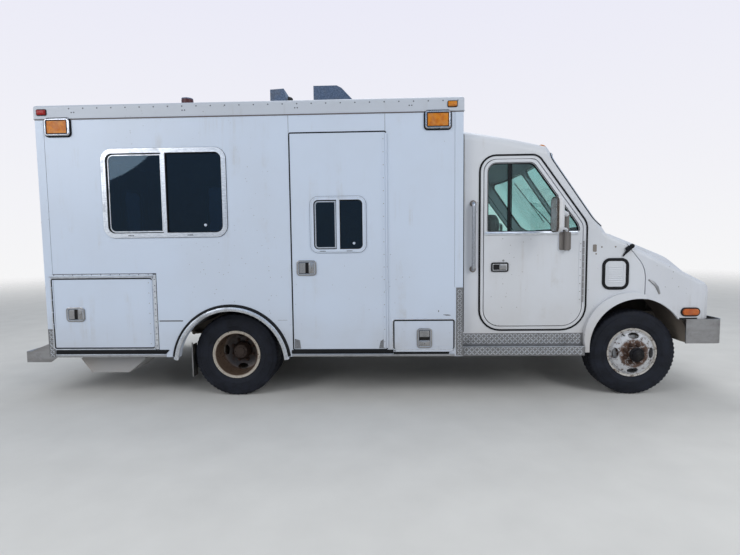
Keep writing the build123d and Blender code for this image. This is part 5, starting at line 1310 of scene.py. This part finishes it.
for side, word in SIDES:
    place = on_side(side, cab_face)
    shape = oblong(2.782, 2.946, 0.728, 0.806, 0.038)
    build(
        "nose_marker_" + word,
        [pad(shape, ((0.011, 0.002), (0.011, 0.014), (0.016, 0.020), (0.026, 0.022)), place)],
        "nose",
        dark_amber,
    )
    build(
        "nose_marker_ring_" + word,
        [hoop(shape, ((0.0, -0.0006), (0.0, 0.008), (0.003, 0.012), (0.009, 0.012), (0.012, 0.006)), place)],
        "nose",
        handle_black,
    )
    strap = [(2.498, 1.060, 0.004), (2.548, 1.036, 0.010), (2.585, 0.990, 0.010), (2.603, 0.930, 0.004)]
    strap += [(2.588, 0.922, 0.004), (2.568, 0.970, 0.008), (2.536, 1.014, 0.008), (2.494, 1.046, 0.004)]
    build(
        "nose_strap_" + word,
        [pad(strap, ((0.0, -0.0006), (0.0, 0.0022), (0.003, 0.0040)), place, 4)],
        "nose",
        steel,
    )
    lip = pad(oblong(2.772, 2.925, 0.7028, 0.7150, 0.003), lip_rows, place)
    build("nose_lip_" + word, [lip], "nose", rubber)
    handle = [(2.353, 1.362), (2.334, 1.340), (2.306, 1.308), (2.284, 1.284), (2.266, 1.260)]
    spine = [(x, side * (cab_face + 0.010), z) for x, z in handle]
    thick = np.interp(np.linspace(0, 1, 27), (0.0, 0.10, 0.35, 0.60, 1.0), (0.012, 0.021, 0.015, 0.012, 0.004))
    latch_rubber = [tube(spine, thick, 12, 5)]
    latch_rubber.append(
        tube([(2.318, side * 1.106, 1.346), (2.300, side * 1.110, 1.330), (2.290, side * 1.108, 1.318)], 0.011, 10, 4)
    )
    build("nose_latch_" + word, latch_rubber, "body", rubber)
front_lip = pad(oblong(-0.945, 0.945, 0.7028, 0.7160, 0.003), lip_rows, on_front(lamp_line))
build("nose_lip_front", [front_lip], "nose", rubber)

# Front wheel wells: brown, rusty splash sheets over the tyres, one on the cab and one that lifts with the nose.
# Each is 3 mm thick, bent round the wheel's axis and stiffened by shallow ribs along its length.
well_paint = weathered(
    "well_sheet", shade(72, 62, 56), shade(44, 36, 32), streaks=0.6, dust=0.9, dust_top=0.9, chips=1.0, gloss=0.7
)
well_x, well_z, well_radius = front_axle - 0.006, 0.463, 0.464
for side, word in SIDES:
    for name, body, start, end in (("front", "nose", 2, 62), ("rear", "body", 74, 176)):
        turn = np.radians(np.linspace(start, end, 24))[:, None]
        across = np.linspace(0.640, 1.058, 9)[None, :]
        ribs = 0.003 * np.cos(across * 95.0)
        radius = well_radius + ribs
        inner, outer = (
            np.stack([well_x + r * np.cos(turn), side * across + 0 * turn, well_z + r * np.sin(turn)], -1)
            for r in (radius, radius + 0.003)
        )
        sheet = shell(np.concatenate([inner, outer[:, ::-1]], 1))
        build("wheel_well_" + name + "_" + word, [sheet], body, well_paint)

# Bumpers: bent aluminium channel, dull and scuffed.
# The back one is a step under rolled tread plate.
bumper_metal = metal("bumper_aluminium", shade(160, 158, 157), shade(142, 139, 137), (0.2, 0.2, 0.6), 0.44, 0.3)
finish_node(bumper_metal, "front_bumper", "rear_bumper")
tread_top = lenses(-3.120, -2.870, -1.06, 1.06, on_top(0.432), 0.046, 0.034, 0.0120, 0.0022)
build("rear_step_diamonds", tread_top, "body", diamond)

# Tyres: worn commercial rubber with four zigzag grooves, notched shoulders and soft moulded rings on the walls.
# Each is one closed skin turned about its axle; the rear twins are four skins on two wheels.
tyre_rubber, tree, shader = new_finish("tyre_rubber", Specular_IOR_Level=0.25)
where = object_spot(tree)
dusty = span(tree, noise(tree, where, 9.0, 7.0, 0.68), 0.38, 0.72)
scuffs = span(tree, noise(tree, where, 60.0, 4.0, 0.7), 0.52, 0.75)
worn = calc(tree, "MAXIMUM", dusty, calc(tree, "MULTIPLY", scuffs, 0.6))
# Both tyre greys carry a blue cast that is painted cool shade of an open sky; the dust and scuffs between them are
# real.
worn_colour_in_cool_shade = tint(tree, worn, shade(16, 18, 26), shade(38, 41, 50))
feed(tree, shader, worn_colour_in_cool_shade, span(tree, worn, 0.0, 1.0, 0.62, 0.92), noise(tree, where, 240.0, 3.0), 0.0004, 0.5)
axle_z = 0.3855
rim_radius, tyre_radius = 0.203, 0.3855
wall_rows = np.array(
    [
        (0.0006, 0.0745), (0.0085, 0.0800), (0.0180, 0.0860), (0.0190, 0.0878), (0.0215, 0.0878), (0.0225, 0.0895),
        (0.0420, 0.0978), (0.0640, 0.1030), (0.0655, 0.1044), (0.0690, 0.1044), (0.0705, 0.1034), (0.0860, 0.1052),
        (0.1100, 0.1046), (0.1300, 0.1018), (0.1312, 0.1030), (0.1370, 0.1020), (0.1382, 0.1004), (0.1560, 0.0958),
    ]
)
groove_at = (-0.056, -0.020, 0.020, 0.056)
pitches, per_pitch = 60, 6


def tyre_skin(middle_y):
    """A closed band: both walls by their (above rim, out) rows, then a crowned tread with zigzag grooves across it.

    Grooves wander sideways as a triangle wave round the tyre, and every pitch notches the shoulders once.
    """
    turn = np.linspace(0, 2 * math.pi, pitches * per_pitch, endpoint=False)[None, :]
    phase = (turn * pitches / (2 * math.pi)) % 1.0
    zigzag = 0.0042 * (np.abs(phase * 4 - 2) - 1)
    notch = np.where((phase > 0.30) & (phase < 0.70), 0.0052, 0.0)
    outer_wall = np.broadcast_to(wall_rows[:, :1] + rim_radius, (len(wall_rows), turn.size))
    outer_y = np.broadcast_to(wall_rows[:, 1:], outer_wall.shape)
    shoulder_y = np.array([0.0930, 0.0880, 0.0800])[:, None] + 0 * turn
    shoulder_drop = np.array([0.0130, 0.0062, 0.0030])[:, None]
    shoulder_r = tyre_radius - shoulder_drop - notch * np.array([1.0, 1.0, 0.6])[:, None]
    radius_rows, across_rows = [outer_wall, shoulder_r], [outer_y, shoulder_y]
    for middle in groove_at[::-1]:
        edges = np.array([0.0050, 0.0034, -0.0034, -0.0050])[:, None] + middle
        crown = tyre_radius - 0.45 * edges**2
        radius_rows.append(crown - np.array([0.0, 0.0085, 0.0085, 0.0])[:, None] + 0 * turn)
        across_rows.append(edges + zigzag)
    radius = np.vstack(radius_rows + [shoulder_r[::-1], outer_wall[::-1]])
    across = np.vstack(across_rows + [-shoulder_y[::-1], -outer_y[::-1]])
    return shell(np.stack([radius * np.cos(turn), middle_y + across, radius * np.sin(turn)], -1), wrap_rows=True)


wheel_rows = (
    ("tyre_skin_front_", "front_wheel_", "tyre_front_", front_axle, (0.920,)),
    ("tyre_skins_rear_", "rear_wheels_", "tyres_rear_", rear_axle, (0.691, 0.945)),
)
for label, body, node, axle_x, rows_y in wheel_rows:
    for side, word in SIDES:
        skins = []
        for y in rows_y:
            points, quads = tyre_skin(side * y)
            skins.append((points + (axle_x, 0.0, axle_z), quads))
        piece = build(label + word, skins, body + word, tyre_rubber, 38.0)
        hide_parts(node + word)

# Wheels: dished steel discs. The front pair are silver, flaking to rust near the hub; the rear are brown with rust.
# Each has a pale rolled lip, eight nuts, a hub cap and a valve stem.
def wheel_finish(name, near, far, flake, lip, start, end, pits, patchy):
    """Old wheel paint: one colour near the hub and another further out, flaking where a noise is high."""
    finish, tree, shader = new_finish(name, Metallic=0.15)
    where = object_spot(tree)
    split = add_node(tree, "SeparateXYZ", Vector=where).outputs
    ahead = calc(tree, "GREATER_THAN", split["X"], 0.5)
    middle = calc(tree, "MULTIPLY_ADD", ahead, front_axle - rear_axle, rear_axle)
    dx = calc(tree, "SUBTRACT", split["X"], middle)
    dz = calc(tree, "SUBTRACT", split["Z"], axle_z)
    radius = calc(tree, "SQRT", calc(tree, "ADD", calc(tree, "MULTIPLY", dx, dx), calc(tree, "MULTIPLY", dz, dz)))
    wander = calc(tree, "MULTIPLY_ADD", noise(tree, where, 11.0, 8.0, 0.72), 0.05, -0.025)
    ring = span(tree, calc(tree, "ADD", radius, wander), start, end)
    rusted = span(tree, noise(tree, where, 26.0, 8.0, 0.75), pits, pits + 0.10)
    bare = span(tree, noise(tree, where, 32.0, 6.0, 0.7), 0.50, 0.60)
    colour = tint(tree, ring, tint(tree, calc(tree, "MULTIPLY", bare, patchy), near, far), far)
    colour = tint(tree, span(tree, radius, 0.196, 0.203), colour, lip)
    colour = tint(tree, calc(tree, "MULTIPLY", rusted, 0.9), colour, flake)
    fine = noise(tree, where, 120.0, 4.0)
    colour = tint(tree, calc(tree, "MULTIPLY", fine, 0.18), colour, shade(60, 50, 44))
    height = calc(tree, "MULTIPLY_ADD", rusted, -0.6, calc(tree, "MULTIPLY", fine, 0.3))
    feed(tree, shader, colour, span(tree, rusted, 0.0, 1.0, 0.45, 0.85), height, 0.0008, 0.6)
    return finish


silver_wheel = wheel_finish(
    "front_wheel_paint",
    shade(92, 66, 52),
    shade(200, 202, 206),
    shade(80, 58, 46),
    shade(196, 192, 186),
    0.120,
    0.140,
    0.515,
    0.75,
)
brown_wheel = wheel_finish(
    "rear_wheel_paint",
    shade(46, 35, 30),
    shade(108, 90, 76),
    shade(72, 48, 38),
    shade(182, 174, 162),
    0.150,
    0.205,
    0.54,
    0.2,
)
finish_node(silver_wheel, "wheel_front_right", "wheel_front_left")
finish_node(brown_wheel, "wheels_rear_right", "wheels_rear_left")
nut_rust = weathered(
    "nut_rust", shade(66, 46, 37), shade(42, 31, 27), streaks=0.4, dust=0.05, dust_top=1.0, chips=1.0, gloss=0.7
)
hub_grey = metal("hub_grey", shade(44, 42, 44), shade(32, 30, 30), (6, 6, 6), 0.6, 0.25)
hub_brown = weathered(
    "hub_brown", shade(50, 38, 33), shade(34, 27, 24), streaks=0.4, dust=0.05, dust_top=1.0, chips=1.0, gloss=0.7
)


def on_axle(side, x, y):
    """Takes (along, up, out) to a wheel's face at that distance out from the centre plane."""
    return lambda p: np.stack([x + p[..., 0], side * (y + p[..., 2]), axle_z + p[..., 1]], -1)


nut_section = [
    (0.0, -0.001), (1.0, -0.001), (1.0, 0.70), (0.86, 0.86), (0.55, 0.88), (0.52, 1.35), (0.40, 1.45), (0.0, 1.45)
]


def nuts(side, x, y, circle, size, tall):
    """Eight hexagon nuts on studs, evenly round a circle."""
    angles = np.radians(np.arange(8) * 45 + 22.5)
    spots = circle * np.column_stack([np.cos(angles), np.sin(angles)])
    return scattered(*spun(np.array(nut_section) * (size, tall), 6), spots, on_axle(side, x, y))


lip_section = [
    (0.2075, 0.0768), (0.2120, 0.0850), (0.2205, 0.0868), (0.2226, 0.0905), (0.2205, 0.0935), (0.2150, 0.0925)
]
lip_section += [(0.2085, 0.0895), (0.2040, 0.0800)]
bolt_angles = np.radians(np.arange(8) * 45)
stem_angle = math.radians(118)
front_stem = ((0.190, 0.985), (0.186, 1.020), (0.180, 1.042))
rear_stem = ((0.186, 0.985), (0.180, 1.008), (0.172, 1.030))
for label, axle_x, wheel_y, flat, nut_ring, hub_out, hub_r, body, paint, slot_name, hub_paint, stem_rows in (
    (
        "front_", front_axle, 0.920, 1.0470, 0.0835, 1.0950, 0.0618,
        "front_wheel_", silver_wheel, "pale_wheel", hub_grey, front_stem,
    ),
    (
        "rear_", rear_axle, 0.945, 0.8180, 0.1030, 0.9080, 0.0598,
        "rear_wheels_", brown_wheel, "rusty_wheel", hub_brown, rear_stem,
    ),
):
    for side, word in SIDES:
        rides = body + word
        build(
            "rim_lip_" + label + word, [spun(lip_section, 72, on_axle(side, axle_x, wheel_y))], rides, paint
        )
        eight = nuts(side, axle_x, flat, nut_ring, 0.0185, 0.024)
        build("wheel_nuts_" + label + word, [eight], rides, nut_rust)
        cap_rows = [(0.0, -0.002), (hub_r + 0.004, -0.002), (hub_r + 0.004, 0.004), (hub_r - 0.006, 0.009)]
        cap_rows += [(hub_r - 0.016, 0.010), (hub_r - 0.018, 0.016), (hub_r - 0.026, 0.020), (0.0, 0.021)]
        cap = [spun(cap_rows, 36, on_axle(side, axle_x, hub_out))]
        heads = (hub_r - 0.008) * np.column_stack([np.cos(bolt_angles), np.sin(bolt_angles)])
        cap.append(studs(heads, 0.0055, 0.0060, on_axle(side, axle_x, hub_out + 0.0085), 6))
        build("hub_cap_" + label + word, cap, rides, hub_paint)
        toward = (math.cos(stem_angle), math.sin(stem_angle))
        stem = [(axle_x + r * toward[0], side * y, axle_z + r * toward[1]) for r, y in stem_rows]
        build("valve_stem_" + label + word, [tube(stem, 0.0048, 10, 3)], rides, handle_black)

# Seats: two vinyl bucket seats with a piped seam round each cushion.
# The cushions are closed skins blown up as cloth, once for each kind, with two sewn channels pressed in.
vinyl, tree, shader = new_finish("seat_vinyl")
where = object_spot(tree)
rubbed = span(tree, noise(tree, where, 8.0, 6.0, 0.66), 0.44, 0.72)
rubbed_colour = tint(tree, rubbed, shade(58, 60, 66), shade(92, 92, 96))
feed(tree, shader, rubbed_colour, span(tree, rubbed, 0.0, 1.0, 0.38, 0.60), noise(tree, where, 420.0, 2.0))


def cushion(low, high, slack=0.007, steps=44):
    """A rounded block a little inside its box.

    Each direction of a sphere is divided by the sixth root of the sum of its sixth powers.
    """
    low, high = np.array(low) + slack, np.array(high) - slack
    up = np.linspace(-math.pi / 2, math.pi / 2, steps)[:, None]
    round_ = np.linspace(0, 2 * math.pi, steps * 2, endpoint=False)[None, :]
    direction = np.stack([np.cos(up) * np.cos(round_), np.cos(up) * np.sin(round_), np.sin(up) + 0 * round_], -1)
    unit = direction / (np.abs(direction) ** 6).sum(-1, keepdims=True) ** (1 / 6)
    return shell((low + high) / 2 + unit * (high - low) / 2)


def stuffed(points, quads, low, high, face_axis, cap=0.016):
    """Blows a closed shell up as cloth: 20 frames of pressure, no point moved past the cap or out of its box.

    Two sewn channels are pressed into its face afterwards, each a bell curve across the seat's width.
    """
    scene = bpy.context.scene
    shape = bpy.data.meshes.new("stuffing")
    shape.from_pydata(points.tolist(), [], quads.tolist())
    holder = bpy.data.objects.new("stuffing", shape)
    scene.collection.objects.link(holder)
    even = holder.modifiers.new("even", "REMESH")
    even.mode, even.voxel_size = "VOXEL", 0.008
    holder.data = bpy.data.meshes.new_from_object(holder.evaluated_get(bpy.context.evaluated_depsgraph_get()))
    holder.modifiers.clear()
    start = np.array([vertex.co for vertex in holder.data.vertices])
    faces = np.array([tuple(face.vertices) for face in holder.data.polygons])
    cloth = holder.modifiers.new("cloth", "CLOTH")
    cloth.settings.use_pressure = True
    cloth.settings.uniform_pressure_force = 4.0
    cloth.settings.effector_weights.gravity = 0.0
    for number in range(1, 21):
        scene.frame_set(number)
    swollen = holder.evaluated_get(bpy.context.evaluated_depsgraph_get()).data
    move = np.array([vertex.co for vertex in swollen.vertices]) - start
    scene.frame_set(1)
    bpy.data.objects.remove(holder)
    length = np.linalg.norm(move, axis=1, keepdims=True)
    made = np.clip(start + move * np.minimum(1, cap / np.maximum(length, 1e-9)), low, high)
    middle, half = (np.array(low) + high) / 2, (np.array(high) - low) / 2
    unit = (made - middle) / half
    channel = np.exp(-(((np.abs(unit[:, 1]) - 0.56) / 0.055) ** 2)) * (unit[:, face_axis] > 0.3)
    made[:, face_axis] -= 0.014 * channel * np.clip(unit[:, face_axis], 0, 1)
    return faced(made, faces)


seat_rows = (
    ("seat_cushion_", (1.1516, 0.350, 0.9854), (1.6494, 0.850, 1.1049), 2, 0.75),
    ("seat_back_", (1.1499, 0.360, 1.1062), (1.2744, 0.840, 1.6799), 0, 0.7),
)
for label, low, high, face_axis, fill in seat_rows:
    points, quads = stuffed(*cushion(low, high), low, high, face_axis)
    for side, word in SIDES:
        piece = build(label + word, [faced(points * (1, side, 1), quads)], "body", vinyl, 60.0)
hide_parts("seat_cushions")
piping = []
for side, _ in SIDES:
    y0, y1 = sorted((side * 0.362, side * 0.838))
    seat_edge = [(x, y, 1.050) for x, y in rounded(oblong(1.164, 1.637, y0, y1, 0.060), 0.0, 8)]
    piping.append(tube(seat_edge + seat_edge[:1], 0.0045, 8, 2))
build("seat_piping", piping, "body", vinyl)

# Cab inside: a rubber-covered tub under a moulded dash with air outlets and a radio.
# A hooded cluster holds three dials behind the thin steering wheel, which turns with its own body.
mat = soft_black("floor_mat", shade(46, 46, 48), shade(78, 72, 64), 0.8, 60.0)
dash_vinyl = soft_black("dash_vinyl", shade(66, 68, 72), shade(98, 96, 92), 0.55, 200.0)
finish_node(mat, "cab_floor")
finish_node(dash_vinyl, "dashboard")
finish_node(handle_black, "steering_wheel")
dial_white = soft_black("dial_face", shade(20, 22, 26), shade(34, 36, 40), 0.3, 20.0)
dash_face = 1.6695
dash_place = on_end(dash_face, -1)
cluster = [
    hoop(
        oblong(0.38, 0.74, 1.205, 1.322, 0.030),
        ((0.0, -0.002), (0.0, 0.030), (0.006, 0.034), (0.010, 0.004)),
        dash_place,
        6,
    )
]
radio = [plate(oblong(-0.10, 0.10, 1.215, 1.275, 0.006), 0.008, dash_place)]
for y in (-0.85, -0.30, 0.24, 0.88):
    cluster.append(
        hoop(
            oblong(y - 0.065, y + 0.065, 1.220, 1.300, 0.012),
            ((0.0, -0.002), (0.0, 0.008), (0.006, 0.010), (0.009, 0.002)),
            dash_place,
            5,
        )
    )
    for z in np.arange(1.236, 1.292, 0.013):
        cluster.append(plate(oblong(y - 0.055, y + 0.055, z, z + 0.005, 0.002), 0.006, dash_place, 0.001))
build("dash_trim", cluster + radio, "body", handle_black)
dials = [plate(oblong(0.392, 0.728, 1.217, 1.310, 0.020), 0.0030, dash_place)]
build("dial_panel", dials, "body", dial_white)


def moved(place, a, b):
    """The same place with its middle at another spot."""
    return lambda p: place(p + np.array((a, b, 0.0)))


dial_section = [(0.034, 0.0), (0.036, 0.005), (0.033, 0.006), (0.031, 0.002)]
dial_rings = [spun(dial_section, 28, moved(dash_place, y, 1.263)) for y in (0.47, 0.56, 0.65)]
knob_section = [(0.0, 0.0), (0.011, 0.0), (0.010, 0.016), (0.0, 0.018)]
knob_spots = ((-0.075, 1.245), (0.075, 1.245), (-0.02, 1.205), (0.02, 1.205))
dial_rings += [spun(knob_section, 16, moved(dash_place, y, z)) for y, z in knob_spots]
build("dial_rings", dial_rings, "body", chrome)
lean = math.radians(52)
wheel_axis = np.array((math.sin(lean), 0.0, -math.cos(lean)))
wheel_up = np.array((math.cos(lean), 0.0, math.sin(lean)))
hub_at = np.array((1.5195, 0.560, 1.330))


def on_wheel(p):
    """Takes (across, up, toward the driver) to the leaning steering wheel's plane."""
    return hub_at + p[..., 0:1] * np.array((0.0, 1.0, 0.0)) + p[..., 1:2] * wheel_up - p[..., 2:3] * wheel_axis


angles = np.linspace(0, 2 * math.pi, 16, endpoint=False)
rim_section = [(0.215 + 0.0162 * math.cos(a), 0.0162 * math.sin(a)) for a in angles] + [(0.2312, 0.0)]
horn_section = [(0.0, 0.002), (0.046, 0.002), (0.050, 0.012), (0.040, 0.026), (0.0, 0.030)]
rim = [spun(rim_section, 64, on_wheel), spun(horn_section, 32, on_wheel)]
build("steering_rim", rim, "steering_wheel", handle_black)

# Box inside and back: a dark floor, lockers darkened to grey as painted shade under the body, and two back doors edged
# in rubber.
# Each back door hangs on four riveted straps, and a bar latch with two long rods holds the right one.
deck = soft_black("box_deck", shade(70, 70, 72), shade(104, 98, 90), 0.8, 40.0)
finish_node(deck, "box_floor")
# The lockers' grey is darker than the body enamel as painted shade under the body.
locker_paint_in_shade = weathered(
    "locker_sheet_painted_shade", shade(156, 158, 162), shade(104, 90, 74), streaks=0.6, dust=0.7, dust_top=0.7, chips=0.8, gloss=0.5
)
finish_node(locker_paint_in_shade, "lockers")
for side, word in SIDES:
    body = "rear_door_" + word
    place = on_end(body_back, -1)
    lo, hi = sorted((side * 0.006, side * 0.637))
    edge = hoop(
        oblong(lo, hi, 0.748, 2.327, 0.010),
        ((0.0, -0.004), (0.0, 0.0020), (0.003, 0.0036), (0.016, 0.0036), (0.018, -0.0006)),
        place,
        4,
    )
    build("rear_door_edge_" + word, [edge], body, rubber)
    win = oblong(side * 0.32175 - 0.190, side * 0.32175 + 0.190, 1.500, 2.050, 0.060)
    trim = [
        hoop(
            win,
            ((-0.034, -0.0004), (-0.034, 0.0030), (-0.030, 0.0100), (-0.004, 0.0108), (0.0, 0.006), (0.0, -0.012)),
            place,
            8,
        )
    ]
    build("rear_window_band_" + word, trim, body, bright)
    gum = [hoop(win, ((-0.0005, -0.016), (-0.0005, 0.0045), (0.007, 0.0020), (0.009, -0.016)), place, 8)]
    build("rear_window_gasket_" + word, gum, body, rubber)
    straps = []
    for z in (0.90, 1.40, 1.90, 2.20):
        a, b = sorted((side * 0.520, side * 0.634))
        straps.append(plate(oblong(a, b, z - 0.022, z + 0.022, 0.010), 0.0045, place))
        straps.append(
            studs([(side * y, z) for y in (0.540, 0.575, 0.610)], 0.0062, 0.0042, on_end(body_back - 0.0040, -1), 6)
        )
    build("rear_hinge_straps_" + word, straps, body, steel)
latch_place = on_end(body_back, -1)
bar_latch = [plate(oblong(-0.165, -0.055, 1.100, 1.270, 0.014), 0.006, latch_place)]
handle_rows = ((0.006, -0.085, 1.185), (0.030, -0.085, 1.185), (0.032, -0.110, 1.180), (0.030, -0.235, 1.160))
bar_latch.append(tube([(body_back - out, y, z) for out, y, z in handle_rows], 0.0085, 12, 6))
rod_x, rod_y = body_back - 0.010, -0.110
for z0, z1 in ((1.270, 2.300), (0.770, 1.100)):
    bar_latch.append(tube([(rod_x, rod_y, z0), (rod_x, rod_y, z1)], 0.0080, 12, 4))
guide_rows = ((0.0, -0.0004), (0.0, 0.012), (0.004, 0.0195), (0.010, 0.0205))
for z in (0.80, 1.02, 1.36, 1.80, 2.26):
    bar_latch.append(pad(oblong(-0.132, -0.088, z - 0.014, z + 0.014, 0.006), guide_rows, latch_place))
build("rear_bar_latch", bar_latch, "rear_door_right", steel)

# Chassis: black paint gone to brown rust and road dust on the frame, axles, springs, engine and tank.
# Rubber mud flaps hang behind the rear wheels from steel edge bars.
chassis_paint = weathered(
    "chassis_black", shade(58, 54, 52), shade(92, 66, 48), streaks=0.4, dust=0.7, dust_top=0.9, chips=1.0, gloss=0.7
)
tank_paint = weathered(
    "tank_paint", shade(64, 62, 62), shade(86, 70, 56), streaks=0.5, dust=0.6, dust_top=0.8, chips=0.8, gloss=0.6
)
finish_node(chassis_paint, "ladder_frame", "axles", "leaf_springs", "knuckle_right", "knuckle_left", "powertrain")
finish_node(tank_paint, "fuel_tank")
flap_rubber = soft_black("flap_rubber", shade(34, 34, 36), shade(92, 88, 82), 0.8, 90.0)
flaps, flap_bars = [], []
flap_face = on_end(rear_axle - 0.406, -1)
for side, _ in SIDES:
    a, b = sorted((side * 0.940, side * 1.048))
    flaps.append(pad(oblong(a, b, 0.178, 0.480, 0.010), ((0.0, 0.0), (0.0, 0.004), (0.001, 0.005)), flap_face))
    a, b = sorted((side * 1.050, side * 1.040))
    flap_bars.append(pad(oblong(a, b, 0.180, 0.500, 0.002), ((0.0, -0.003), (0.0, 0.006), (0.001, 0.0065)), flap_face))
build("mud_flaps", flaps, "body", flap_rubber)
build("mud_flap_bars", flap_bars, "body", steel)
